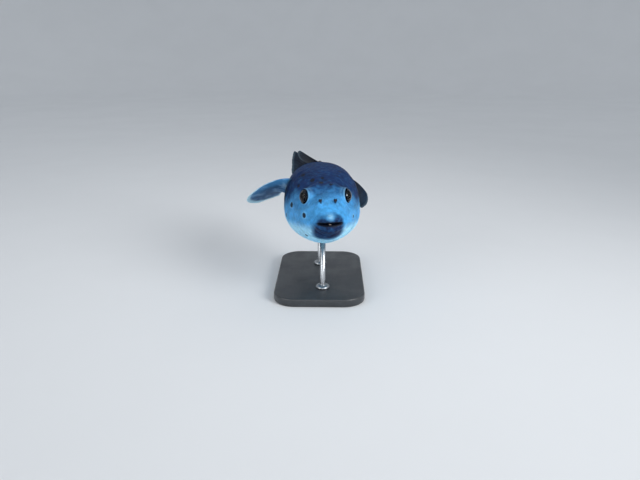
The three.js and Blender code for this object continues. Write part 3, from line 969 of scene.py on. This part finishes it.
def cut_socket(bm, eye, ring, dark):
    """Opens the skin over the eye and turns its edge up into a lid and in behind the ball."""
    centre, axis = Vector(eye.centre), Vector(eye.axis)

    def polar(vert):
        away = vert.co - centre
        ahead = away.dot(axis)
        return ahead, away - axis * ahead

    def covers(face):
        middle = face.calc_center_median() - centre
        if middle.length > NEAR_EYE:
            return False
        ahead = middle.dot(axis)
        return ahead > -3 and (middle - axis * ahead).length < SOCKET

    bmesh.ops.delete(bm, geom=[face for face in bm.faces if covers(face)], context="FACES")
    edges = [
        edge for edge in bm.edges
        if edge.is_boundary and (edge.verts[0].co - centre).length < NEAR_EYE
    ]
    rim = {vert for edge in edges for vert in edge.verts}
    for vert in rim:
        ahead, out = polar(vert)
        vert.co = centre + axis * ahead + out.normalized() * SOCKET
    even_out(closed_loop(edges), eye)
    around = [
        vert for vert in bm.verts
        if vert not in rim and (vert.co - centre).length < 12
        and SOCKET < polar(vert)[1].length < SOCKET + 3.2
    ]
    for _ in range(5):
        bmesh.ops.smooth_vert(
            bm, verts=around, factor=0.5, use_axis_x=True, use_axis_y=True, use_axis_z=True
        )
    # a pale painted highlight in a ring round the socket
    for vert in around:
        near = float(rise(polar(vert)[1].length, SOCKET + 1.0, SOCKET))
        vert[ring] = ROUND_EYE_HIGHLIGHT * near
    for out_to, ahead_to in LID:
        made = bmesh.ops.extrude_edge_only(bm, edges=edges)["geom"]
        edges = [item for item in made if isinstance(item, bmesh.types.BMEdge)]
        edges = [edge for edge in edges if edge.is_boundary]
        for vert in {vert for edge in edges for vert in edge.verts}:
            _, out = polar(vert)
            vert.co = centre + axis * ahead_to + out.normalized() * out_to
            # the lid takes a painted highlight and a little painted shade, the socket behind the
            # ball dark painted shade
            on_lid = out_to > LID_INNER_EDGE
            vert[ring] = LID_HIGHLIGHT if on_lid else 0.0
            vert[dark] = LID_SHADE if on_lid else SOCKET_SHADE
    bmesh.ops.contextual_create(bm, geom=edges)


class PUFFER_OT_skin(bpy.types.Operator):
    """Make the seamless skin with its folds, lips, gill slits and eye sockets"""

    bl_idname = "puffer.skin"
    bl_label = "Skin"

    def execute(self, context):
        sizes, colours, _ = settings(context)
        skin_shape(skin_grid(sizes)).finish(
            "skin",
            skin_finish(colours),
            "skin",
            ("head", "snout", "lip_upper", "lip_lower", "trunk", "belly", "tail_stalk"),
        )
        return {"FINISHED"}


# ---- Prickles ----


def prickle_roots(points, spacing, random):
    """Fractional row and column of each prickle on the skin's grid."""
    rows, columns = points.shape[:2]
    length = np.linalg.norm(np.diff(points, axis=0), axis=-1).mean(axis=1)
    along = np.concatenate([[0], np.cumsum(length)])
    girth = np.linalg.norm(np.diff(points, axis=1), axis=-1).sum(axis=1)
    found = []
    for line, distance in enumerate(np.arange(12.0, along[-1], spacing * 0.87)):
        row = np.interp(distance, along, np.arange(rows))
        number = int(girth[int(row)] / spacing)
        if number < 4:
            continue
        column = (np.arange(number) + 0.5 * (line % 2)) / number
        column = column + random.uniform(-0.32, 0.32, number) / number
        drift = random.uniform(-0.3, 0.3, number) * spacing / max(length[int(row)], 0.1)
        found.append(np.stack([
            np.clip(row + drift, 0, rows - 1.001), (column % 1) * (columns - 1.001)
        ], -1))
    return np.concatenate(found)


def between(values, at):
    """values of a grid at fractional rows and columns."""
    row, column = np.floor(at).astype(int).T
    part = at - np.floor(at)
    across, down = part[:, 1], part[:, 0]
    if values.ndim == 3:
        across, down = across[:, None], down[:, None]
    near = values[row, column] * (1 - across) + values[row, column + 1] * across
    far = values[row + 1, column] * (1 - across) + values[row + 1, column + 1] * across
    return near * (1 - down) + far * down


def prickle_size(s, side, height, points):
    """Length of the prickles from 0 to 1: none on lips, lids, gill slits and the tail's end."""
    width = np.abs(side)
    size = 0.42 + 0.58 * rise(s, 22, 70)
    size *= rise(s, 11, 16) * rise(s, 190, 172)
    size *= np.where(s < 30, rise(oval(side, height, BARE_CHIN), 0.7, 1.1), 1)
    for eye in EYES:
        ahead, out = eye.polar(points)
        size *= rise(out, 7.6, 9.4) + (ahead < -4)
    gill = bell(s - GILL["s"], 2.4) * (np.abs(height - GILL["height"]) < 10) * (width > 24)
    root = bell(s - 84, 8) * bell(height - 12, 12) * (width > 26)
    size = np.clip(size, 0, 1) * (1 - gill) * (1 - 0.9 * root)
    return size * rise(distance(s, side, height, NOSTRIL), 2.5, 4)


def prickle_cone():
    """Corners of a spine with its point up, and its faces as numbers of corners."""
    cone = bmesh.new()
    bmesh.ops.create_cone(cone, cap_ends=False, segments=3, radius1=0.5, radius2=0, depth=1)
    bmesh.ops.remove_doubles(cone, verts=cone.verts, dist=1e-4)
    cone.verts.index_update()
    corner = np.array([vert.co for vert in cone.verts]) * (-1, -1, 1)
    faces = np.array([[vert.index for vert in face.verts] for face in cone.faces])
    cone.free()
    return corner, faces


def prickle_corners(points, at, size, longest, corner, random):
    """Corners of the prickles at fractional places of the grid: flat, with points lying back."""
    normal = unit(between(outward(points), at))
    back = between(unit(np.gradient(points, axis=0)), at)
    back = unit(back - normal * (back * normal).sum(-1, keepdims=True))
    beside = np.cross(back, normal)
    length = longest * size * random.uniform(0.75, 1.2, len(size))
    lean = back * random.uniform(1.1, 1.7, (len(size), 1))
    lean += beside * random.uniform(-0.35, 0.35, (len(size), 1))
    point = unit(normal + lean) * length[:, None]
    girth = 0.05 * length[:, None, None] + 0.055
    placed = (between(points, at) - normal * 0.06)[:, None]
    placed = placed + beside[:, None] * corner[None, :, 0:1] * girth * 2
    placed = placed + back[:, None] * corner[None, :, 1:2] * girth * 3.2
    return placed + point[:, None] * (corner[:, 2] > 0)[None, :, None]


def prickle_mesh(grid, at, placed, corner, faces):
    """All prickles as one mesh, which carries the markings of the skin below them."""
    mesh = bpy.data.meshes.new("prickles")
    number, corners = len(at), len(corner)
    index = faces[None] + (np.arange(number) * corners)[:, None, None]
    mesh.from_pydata(
        (placed.reshape(-1, 3) * MM).tolist(), [], index.reshape(-1, faces.shape[1]).tolist()
    )
    areas = {
        name: np.repeat(between(area, at), corners) for name, area in grid["areas"].items()
    }
    areas["tip"] = np.tile((corner[:, 2] > 0).astype(float), number)
    for name, values in areas.items():
        mesh.attributes.new(name, "FLOAT", "POINT").data.foreach_set("value", values)
    rows, columns = grid["s"].shape
    patch = at[:, None, ::-1] / (columns - 1, rows - 1) + corner[None, :, :2] * 0.003
    loops = np.zeros(len(mesh.loops), int)
    mesh.loops.foreach_get("vertex_index", loops)
    unwrap = mesh.uv_layers.new(name="OFBake")
    unwrap.data.foreach_set("uv", patch.reshape(-1, 2)[loops].ravel())
    return mesh


class PUFFER_OT_prickles(bpy.types.Operator):
    """Cover the skin with the small prickles of the coat, lying towards the tail"""

    bl_idname = "puffer.prickles"
    bl_label = "Prickles"

    def execute(self, context):
        sizes, colours, _ = settings(context)
        grid = skin_grid(sizes)
        points = grid["points"]
        random = np.random.default_rng(7)
        at = prickle_roots(points, sizes.prickle_spacing / MM, random)
        where = (between(grid[name], at) for name in ("s", "side", "height"))
        size = prickle_size(*where, between(points, at))
        kept = size > 0.12
        at, size = at[kept], size[kept]
        corner, faces = prickle_cone()
        longest = sizes.prickle_length / MM
        placed = prickle_corners(points, at, size, longest, corner, random)
        mesh = prickle_mesh(grid, at, placed, corner, faces)
        mesh.materials.append(prickle_finish(colours))
        piece = add_object("prickles", mesh)
        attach(piece, ROOT)
        return {"FINISHED"}


# ---- Eyes ----


class PUFFER_OT_eyes(bpy.types.Operator):
    """Make the eyeballs with their sunk irises, and a clear cornea over each"""

    bl_idname = "puffer.eyes"
    bl_label = "Eyes"

    iris_radius = 5.6
    iris_depth = 0.85
    pupil_radius = 3.0
    pupil_edge = 0.14  # depth of the groove round the pupil
    lens_height = 0.42
    cornea_radius = 5.6
    cornea_gap = 0.05
    cornea_thick = 0.3

    def execute(self, context):
        _, colours, _ = settings(context)
        glass = cornea_finish()
        for eye in EYES:
            self.ball(eye, eye_finish(colours, eye))
            self.cornea(eye, glass)
        return {"FINISHED"}

    def ball(self, eye, material):
        shape = Shape()
        bm = shape.bm
        bmesh.ops.create_uvsphere(bm, u_segments=64, v_segments=128, radius=eye.radius)
        for vert in bm.verts:
            out = math.hypot(vert.co.x, vert.co.y)
            if vert.co.z < 0 or out > self.iris_radius:
                continue
            vert.co.z -= self.iris_depth * (1 - (out / self.iris_radius) ** 2) ** 1.5
            from_edge = (out - self.pupil_radius - 0.25) / 0.3
            vert.co.z -= self.pupil_edge * math.exp(-(from_edge**2))
            if out < self.pupil_radius:
                vert.co.z += self.lens_height * math.sqrt(1 - (out / self.pupil_radius) ** 2)
        shape.finish(eye.name, material, "eye", (eye.name,), eye.basis())

    def cornea(self, eye, material):
        shape = Shape()
        radius = eye.radius + self.cornea_gap
        edge = math.asin(self.cornea_radius / radius)
        outline = []
        for step in range(12):
            out = self.cornea_radius * step / 12
            thick = self.cornea_thick * (1 - (out / self.cornea_radius) ** 2) ** 1.5
            outline.append((out, math.sqrt(radius**2 - out**2) - thick))
        for step in range(17):
            turn = edge * (1 - step / 16)
            outline.append((radius * math.sin(turn), radius * math.cos(turn)))
        lathe(shape.bm, outline, 56, 1e-3)
        shape.finish(eye.name.replace("eye", "cornea"), material, "eye", seat=eye.basis())


# ---- Beak ----


class PUFFER_OT_beak(bpy.types.Operator):
    """Make the two plates of the beak, each of two teeth grown together"""

    bl_idname = "puffer.beak"
    bl_label = "Beak"

    # Section of the upper plate: distance from the middle of its curve, and height.
    outline = ((9.35, 0.58), (9.58, 0.9), (9.66, 1.6), (9.6, 2.7), (7.8, 2.7), (8.0, 1.7),
               (8.5, 0.95), (9.0, 0.6))
    half_turn = math.radians(44)
    root = 2.7  # height of the plates' roots
    groove_depth, groove_width = 0.3, 0.28  # between the two teeth of a plate
    wave_depth = 0.05

    def execute(self, context):
        _, colours, _ = settings(context)
        material = beak_finish(colours)
        _, back, left = spine(0.0)
        seat = frame_matrix(left, back, UP, place(BEAK_S + BEAK_RADIUS, 0, 0))
        for name, way in (("beak_upper", 1), ("beak_lower", -1)):
            shape = Shape()
            self.plate(shape.bm, way)
            shape.finish(name, material, "tooth", (name,), seat)
        return {"FINISHED"}

    def plate(self, bm, way):
        """Bends the section into a plate; way is 1 for the upper one and -1 for the lower."""
        start = Matrix.Rotation(-self.half_turn, 3, "Z")
        verts = [
            bm.verts.new(start @ Vector((0, -out, way * height)))
            for out, height in self.outline
        ]
        section_face = bm.faces.new(verts)
        bmesh.ops.spin(
            bm, geom=[section_face, *section_face.edges, *verts], cent=Vector(),
            axis=Vector((0, 0, 1)), angle=2 * self.half_turn, steps=64,
        )
        root = way * self.root
        for vert in bm.verts:
            turn = math.atan2(vert.co.x, -vert.co.y)
            from_middle = turn * BEAK_RADIUS / self.groove_width
            groove = self.groove_depth * math.exp(-(from_middle**2))
            taper = 1 - 0.7 * float(rise(abs(turn), 0.03, 0.4))
            wave = self.wave_depth * math.sin(vert.co.z * 9)
            flat = math.hypot(vert.co.x, vert.co.y)
            vert.co.x *= (flat - groove + wave) / flat
            vert.co.y *= (flat - groove + wave) / flat
            vert.co.z = root + (vert.co.z - root) * taper


# ---- Flaps at the nostrils ----


class PUFFER_OT_nose_flaps(bpy.types.Operator):
    """Make the forked fleshy flap at each nostril"""

    bl_idname = "puffer.nose_flaps"
    bl_label = "Nose flaps"

    length = 2.4
    lean = math.radians(16)

    def execute(self, context):
        _, colours, _ = settings(context)
        material = flap_finish(colours)
        station, side, height = NOSTRIL
        _, back, left = spine(station)
        for name, way in (("left", 1), ("right", -1)):
            shape = Shape()
            tip = shape.bm.verts.layers.float.new("tip")
            for lean in (-self.lean, self.lean):
                self.leaf(shape.bm, tip, lean)
            name = f"nose_flap_{name}"
            seat = frame_matrix(left, back, UP, place(station, way * side, height))
            shape.finish(name, material, "dark_skin", (name,), seat)
        return {"FINISHED"}

    def leaf(self, bm, tip, lean):
        """One of the two leaves of a flap, leaning to its side."""
        made = bmesh.ops.create_uvsphere(bm, u_segments=20, v_segments=16, radius=1)
        for vert in made["verts"]:
            x, y, z = vert.co
            vert[tip] = float(rise(z, 0.3, 1.0))
            narrow = 0.94 - 0.28 * z
            bend = 0.4 * x * x + 0.16 * (z + 1) ** 2
            vert.co = Vector((
                1.12 * x * narrow, 0.6 * y * narrow + bend, self.length * (z * 0.8 + 0.3)
            ))
        move = Matrix.Translation(Vector((math.sin(lean) * self.length * 0.3, 0, 0)))
        turned = Matrix.Rotation(lean, 4, "Y")
        bmesh.ops.transform(bm, matrix=move @ turned, verts=made["verts"])


# ---- Fins ----

SIDE_RAYS, MIDDLE_RAYS, TAIL_RAYS = 17, 10, 11
STEPS_PER_RAY, STEPS_ALONG = 10, 56  # faces of a fin's sheets


def rounded(b, longest, first, last, peak):
    """Rounded outline of a fin: shorter rays at both edges."""
    edge = np.where(b < peak, first, last)
    away = np.where(b < peak, (peak - b) / peak, (b - peak) / (1 - peak))
    return longest - (longest - edge) * np.abs(away) ** 2.4


def mixed(ends, b):
    return ends[0] + (ends[1] - ends[0]) * b


class Fin:
    """A fan of rays. root, way and length take b, from 0 at the first ray to 1 at the last."""

    def __init__(self, name, rays, root, way, length, curl, thick=1.6, lead=0.0, sheath=0.0):
        self.name, self.rays, self.root, self.way, self.length = name, rays, root, way, length
        self.curl, self.thick, self.lead, self.sheath = curl, thick, lead, sheath

    def middle(self, a, b):
        """Points halfway through the fin, a along its rays and b across them."""
        gap = np.abs((b * self.rays) % 1 - 0.5) * 2
        scallop = 1 - 0.022 * rise(a, 0.75, 1.0) * gap**2
        reach = a * self.length(b) * scallop
        ripple = 0.55 * a**2 * np.sin(b * 9 + 1.2) + 0.3 * a**3 * np.sin(b * 23)
        way = self.way(b)
        curl_way, amount = self.curl
        point = self.root(b) + way * reach[..., None]
        point = point + curl_way * (amount * self.length(b) * a * a)[..., None]
        return point + curl_way * ripple[..., None] * 0.6

    def ridge(self, a, b):
        """1 on a ray and 0 between rays; each ray forks towards the margin."""
        from_ray = np.abs((b * self.rays) % 1 - 0.5)
        fork = 0.2 * rise(a, 0.4, 0.95)
        return bell(np.abs(from_ray - fork), 0.1 + 0.04 * a)


def fin_thickness(fin, a, b, ridge, ray_height):
    """Half the thickness of a fin: most at the root and on the rays, least at the edges."""
    edge = np.minimum(np.minimum(b, 1 - b) * fin.rays * 2.2, (1 - a) * 16)
    half = 0.22 + 0.5 * fin.thick * (1 - a) ** 1.6 * 0.8 + ray_height * ridge * (1 - 0.55 * a)
    half = half + fin.sheath * np.exp(-a / 0.07)
    return half * (0.35 + 0.65 * rise(edge, 0.0, 1.0))


def fin_areas(fin, a, b, ridge):
    """Strengths from 0 to 1 of the fin's colour areas: rays, pale margin and leading edge."""
    side_margin = 0.8 * rise(1 - b, 0.07, 0.02) * rise(a, 0.2, 0.5)
    side_margin += 0.8 * rise(b, 0.02, 0.006) * rise(a, 0.3, 0.6)
    margin = np.maximum(rise(a, 0.88, 0.96), side_margin)
    lead = fin.lead * rise(b, 0.42, 0.12) * rise(a, 0.98, 0.85)
    return {"ridge": ridge, "rim": margin, "lead": lead}


def fin_shape(fin, ray_height):
    """A closed fin: two sheets joined at their edges, thick at the root and on the rays."""
    across, along = fin.rays * STEPS_PER_RAY, STEPS_ALONG
    shape = Shape()
    bm = shape.bm
    uv = bm.loops.layers.uv.new("Fin")
    layers = {name: bm.verts.layers.float.new(name) for name in ("ridge", "rim", "lead")}
    made = bmesh.ops.create_grid(bm, x_segments=along, y_segments=across, size=1.0)
    verts = made["verts"]
    flat = np.array([vert.co for vert in verts])
    a, b = (flat[:, 0] + 1) / 2, (flat[:, 1] + 1) / 2
    small = 0.004
    point = fin.middle(a, b)
    tangent = fin.middle(a + small, b) - fin.middle(a - small, b)
    beside = fin.middle(a, b + small) - fin.middle(a, b - small)
    normal = unit(np.cross(tangent, beside))
    ridge = fin.ridge(a, b)
    half = fin_thickness(fin, a, b, ridge, ray_height)
    areas = fin_areas(fin, a, b, ridge)
    for index, vert in enumerate(verts):
        vert.co = point[index] + normal[index] * half[index]
        for name, layer in layers.items():
            vert[layer] = areas[name][index]
    order = {vert: index for index, vert in enumerate(verts)}
    for face in bm.faces:
        for loop in face.loops:
            loop[uv].uv = (a[order[loop.vert]], b[order[loop.vert]])
    bm.verts.index_update()
    rim = [line for line in bm.edges if line.is_boundary]
    copied = bmesh.ops.duplicate(bm, geom=[*bm.verts, *bm.edges, *bm.faces])
    twin = copied["vert_map"]
    for index, vert in enumerate(verts):
        twin[vert].co = Vector(point[index] - normal[index] * half[index])
    back_faces = [item for item in copied["geom"] if isinstance(item, bmesh.types.BMFace)]
    bmesh.ops.reverse_faces(bm, faces=back_faces)
    other = [item for item in copied["geom"]
             if isinstance(item, bmesh.types.BMEdge) and item.is_boundary]
    bmesh.ops.bridge_loops(bm, edges=rim + other)
    return shape


def pectoral_fin(name, side, sweep, droop, curl, lead):
    """side is 1 for the left fin and -1 for the right one; angles are in degrees."""
    def root(b):
        return place(mixed((78, 85), b), side * mixed((26, 32.5), b), mixed((20.5, 4.5), b))

    def way(b):
        back = np.radians(mixed(sweep, b))
        down = np.radians(droop[0] + droop[1] * np.sin(b * math.pi))
        flat = np.cos(down)
        out, back = flat * np.cos(back), flat * np.sin(back)
        return direction(PECTORAL_S, side * out, back, -np.sin(down))

    def length(b):
        return rounded(b, 46, 35, 27, 0.38)

    curled = (direction(PECTORAL_S, 0, curl[0], -1), curl[1])
    return Fin(name, SIDE_RAYS, root, way, length, curled, lead=lead)


def middle_fin(name, up, stations, longest, leans):
    """up is 1 for the fin on the back and -1 for the one below; leans are in degrees."""
    def root(b):
        s = mixed(stations, b)
        _, _, top, bottom, *_ = section(row_place(s))
        return place(s, 0, (top if up > 0 else bottom) - up * 1.5)

    def way(b):
        back = np.radians(mixed((28, 58), b))
        lean = np.radians(mixed(leans, b))
        out = np.cos(back)
        to_left, to_up = -out * np.sin(lean), up * out * np.cos(lean)
        return direction(MIDDLE_FINS_S, to_left, np.sin(back), to_up)

    def length(b):
        return rounded(b, longest, longest * 0.86, longest * 0.6, 0.3)

    curled = (direction(MIDDLE_FINS_S, -0.5, 1, 0), 0.12)
    return Fin(name, MIDDLE_RAYS, root, way, length, curled)


def tail_fin():
    spread, swing = math.radians(15), math.radians(7)

    def root(b):
        return place(LENGTH - 3, 0 * b, mixed((9.4, -8.4), b))

    def way(b):
        climb = mixed((spread, -spread), b)
        back = np.cos(climb)
        return direction(
            LENGTH, -back * math.sin(swing), back * math.cos(swing), np.sin(climb)
        )

    def length(b):
        return rounded(b, 48, 41, 41, 0.5)

    return Fin("tail_fin", TAIL_RAYS, root, way, length, (direction(LENGTH, -1, 0, 0), 0.15),
               thick=1.8, sheath=1.4)


def make_fins(fins, sizes, material):
    for fin in fins:
        shape = fin_shape(fin, sizes.ray_height / MM)
        shape.finish(fin.name, material, "fin", (fin.name,))


class PUFFER_OT_pectoral_fins(bpy.types.Operator):
    """Make the spread right pectoral fin and the trailing left one"""

    bl_idname = "puffer.pectoral_fins"
    bl_label = "Pectoral fins"

    def execute(self, context):
        sizes, colours, _ = settings(context)
        right = pectoral_fin(
            "pectoral_fin_right", -1, (-2, 74), (-7, 12), (0.5, 0.52), lead=0.5
        )
        left = pectoral_fin("pectoral_fin_left", 1, (54, 82), (22, 6), (0, 0.2), lead=0.0)
        spread = fin_finish("spread_fin", colours, SIDE_RAYS, 0.14)
        # The left fin takes a darker copy of the fin's material, painted shade for a fin in the
        # body's shade: dark root far along, faint rays and margin, dim membrane.
        folded = fin_finish("folded_fin", colours, SIDE_RAYS, 0.9, 0.1, 0.08, 0.1)
        make_fins((right,), sizes, spread)
        make_fins((left,), sizes, folded)
        return {"FINISHED"}


class PUFFER_OT_middle_fins(bpy.types.Operator):
    """Make the fin on the back, the one below and the tail fin"""

    bl_idname = "puffer.middle_fins"
    bl_label = "Back, lower and tail fins"

    def execute(self, context):
        sizes, colours, _ = settings(context)
        upper = middle_fin("dorsal_fin", 1, (148, 166), 28, (58, 96))
        lower = middle_fin("anal_fin", -1, (153, 169), 27, (60, 60))
        # Fins behind the head are dim and dark from the root nearly to the margin, painted shade
        # for fins in the body's shade.
        middle = fin_finish("middle_fin", colours, MIDDLE_RAYS, 1.5, 0.1, 0.08, 0.05)
        tail = fin_finish("tail_fin", colours, TAIL_RAYS, 1.5, 0.1, 0.1, 0.05)
        make_fins((upper, lower), sizes, middle)
        make_fins((tail_fin(),), sizes, tail)
        return {"FINISHED"}


# ---- Stand ----


class PUFFER_OT_stand(bpy.types.Operator):
    """Make the painted base and the two steel rods of the display stand"""

    bl_idname = "puffer.stand"
    bl_label = "Stand"

    corner = 20.0
    edge = 1.6
    flange_radius = 6.5
    flange_height = 3.0
    crown = 1.6  # height of the flange's rounded top
    fillet = 0.7  # between flange and rod
    sunk, reach = 0.3, 0.5  # how far a rod goes into the base and into the fish

    def execute(self, context):
        sizes, colours, _ = settings(context)
        self.base(paint_finish(colours))
        steel = steel_finish(colours)
        for name in ("stand_rod_front", "stand_rod_rear"):
            self.rod(name, sizes.rod_radius / MM, steel)
        return {"FINISHED"}

    def base(self, material):
        low, high = node_box("stand_base")
        shape = Shape()
        bm = shape.bm
        bmesh.ops.create_cube(bm, size=1.0)
        bmesh.ops.scale(bm, vec=high - low, verts=bm.verts)
        bmesh.ops.translate(bm, vec=(low + high) / 2, verts=bm.verts)

        def climb(edge):
            return abs(edge.verts[0].co.z - edge.verts[1].co.z)

        def turns(edge):
            one, other = edge.link_faces
            return abs(one.normal.z - other.normal.z) > 0.5

        def bevel(edges, offset, segments):
            bmesh.ops.bevel(
                bm, geom=edges, offset=offset, segments=segments, profile=0.5,
                affect="EDGES", material=-1,
            )

        bevel([edge for edge in bm.edges if climb(edge) > 1], self.corner, 14)
        rims = [edge for edge in bm.edges if climb(edge) < 0.01 and turns(edge)]
        bevel(rims, self.edge, 5)
        shape.finish("stand_base", material, "stand_paint", ("stand_base",))

    def rod(self, name, radius, material):
        low, high = node_box(name)
        foot, head = low.z - self.sunk, high.z + self.reach
        wide, top = self.flange_radius, foot + self.flange_height
        crown, fillet = self.crown, self.fillet
        shoulder, neck = top - crown, radius + fillet
        quarter = [math.radians(15 * step) for step in range(7)]
        outline = [(0, foot), (wide - 0.5, foot), (wide, foot + 0.4), (wide, shoulder)]
        outline += [
            (neck + (wide - neck) * math.cos(turn), shoulder + crown * math.sin(turn))
            for turn in quarter
        ]
        outline += [
            (neck - fillet * math.sin(turn), top + fillet - fillet * math.cos(turn))
            for turn in quarter[1:]
        ]
        outline += [(radius, head), (0, head)]
        shape = Shape()
        lathe(shape.bm, outline, 48, 1e-3)
        middle = (low + high) / 2
        seat = Matrix.Translation((middle.x, middle.y, 0))
        shape.finish(name, material, "stand_steel", (name,), seat)


# ---- Stage ----


class PUFFER_OT_stage(bpy.types.Operator):
    """Set up the pale studio floor, its soft lamps and the camera"""

    bl_idname = "puffer.stage"
    bl_label = "Studio"

    camera_place = (0.00964, -0.52934, 0.21954)
    camera_way = (-0.01750, 0.94811, -0.31747)
    lamp_aim = (0, 0, 0.08)
    lamp_spread = math.radians(60)
    sky_colour = (0.86, 0.9, 0.95, 1)
    sky_strength = 0.72
    floor_radius = 2.4
    floor_curve = 1.2
    wall_height = 2.6

    def execute(self, context):
        _, colours, stage = settings(context)
        scene = context.scene
        self.floor(floor_finish(colours))
        self.lamp("key_light", (0.95, -0.8, 0.62), 0.7, stage.key)
        self.lamp("fill_light", (-0.95, -0.75, 0.45), 0.9, 1.8 * stage.fill)
        self.lamp("front_light", (0.0, -1.3, 0.25), 0.8, stage.fill)
        scene.world = bpy.data.worlds.new("studio")
        scene.world.use_nodes = True
        sky = scene.world.node_tree.nodes["Background"].inputs
        sky["Color"].default_value = self.sky_colour
        sky["Strength"].default_value = self.sky_strength
        camera = add_object("camera", bpy.data.cameras.new("camera"))
        camera.data.lens = stage.lens
        camera.data.sensor_width = 36.0
        camera.data.clip_start = 0.01
        camera.location = self.camera_place
        camera.rotation_euler = Vector(self.camera_way).to_track_quat("-Z", "Y").to_euler()
        scene.camera = camera
        scene.view_settings.view_transform = "Standard"
        return {"FINISHED"}

    def lamp(self, name, where, size, power):
        light = bpy.data.lights.new(name, "AREA")
        light.shape = "DISK"
        light.size = size
        light.energy = power
        light.spread = self.lamp_spread
        lamp = add_object(name, light)
        lamp.location = where
        aim = Vector(self.lamp_aim) - Vector(where)
        lamp.rotation_euler = aim.to_track_quat("-Z", "Y").to_euler()

    def floor(self, material):
        """A round floor whose rim curves up into a wall, the same from every side."""
        bm = bmesh.new()
        flat, curve = self.floor_radius, self.floor_curve
        outline = [(0, 0), (flat, 0)]
        for step in range(1, 17):
            turn = math.radians(90 * step / 16)
            outline.append((flat + curve * math.sin(turn), curve - curve * math.cos(turn)))
        outline.append((flat + curve, self.wall_height))
        lathe(bm, outline, 96, 1e-5)
        if bm.faces[0].normal.z < 0:
            bmesh.ops.reverse_faces(bm, faces=bm.faces)
        mesh = smooth_mesh("studio_floor", bm)
        mesh.materials.append(material)
        add_object("studio_floor", mesh)


# ---- Panel and registration ----

OPERATORS = (
    PUFFER_OT_skin,
    PUFFER_OT_prickles,
    PUFFER_OT_eyes,
    PUFFER_OT_beak,
    PUFFER_OT_nose_flaps,
    PUFFER_OT_pectoral_fins,
    PUFFER_OT_middle_fins,
    PUFFER_OT_stand,
    PUFFER_OT_stage,
)


class PUFFER_PT_panel(bpy.types.Panel):
    """Lists the pieces of the model with their sizes and colours"""

    bl_idname = "PUFFER_PT_panel"
    bl_label = "Blackspotted Puffer"
    bl_space_type = "VIEW_3D"
    bl_region_type = "UI"
    bl_category = "Puffer"

    def draw(self, context):
        for group in settings(context):
            column = self.layout.column(align=True)
            for name in group.__annotations__:
                column.prop(group, name)
        for operator in OPERATORS:
            self.layout.operator(operator.bl_idname)


GROUPS = (PufferSizes, PufferColours, StageLight)


def register():
    for made in (*GROUPS, *OPERATORS, PUFFER_PT_panel):
        bpy.utils.register_class(made)
    scene = bpy.types.Scene
    scene.puffer_sizes = bpy.props.PointerProperty(type=PufferSizes)
    scene.puffer_colours = bpy.props.PointerProperty(type=PufferColours)
    scene.puffer_stage = bpy.props.PointerProperty(type=StageLight)


def unregister():
    for name in ("puffer_sizes", "puffer_colours", "puffer_stage"):
        delattr(bpy.types.Scene, name)
    for made in (PUFFER_PT_panel, *reversed(OPERATORS), *reversed(GROUPS)):
        bpy.utils.unregister_class(made)


def main():
    register()
    for operator in OPERATORS:
        group, name = operator.bl_idname.split(".")
        getattr(getattr(bpy.ops, group), name)()


if __name__ == "__main__":
    main()
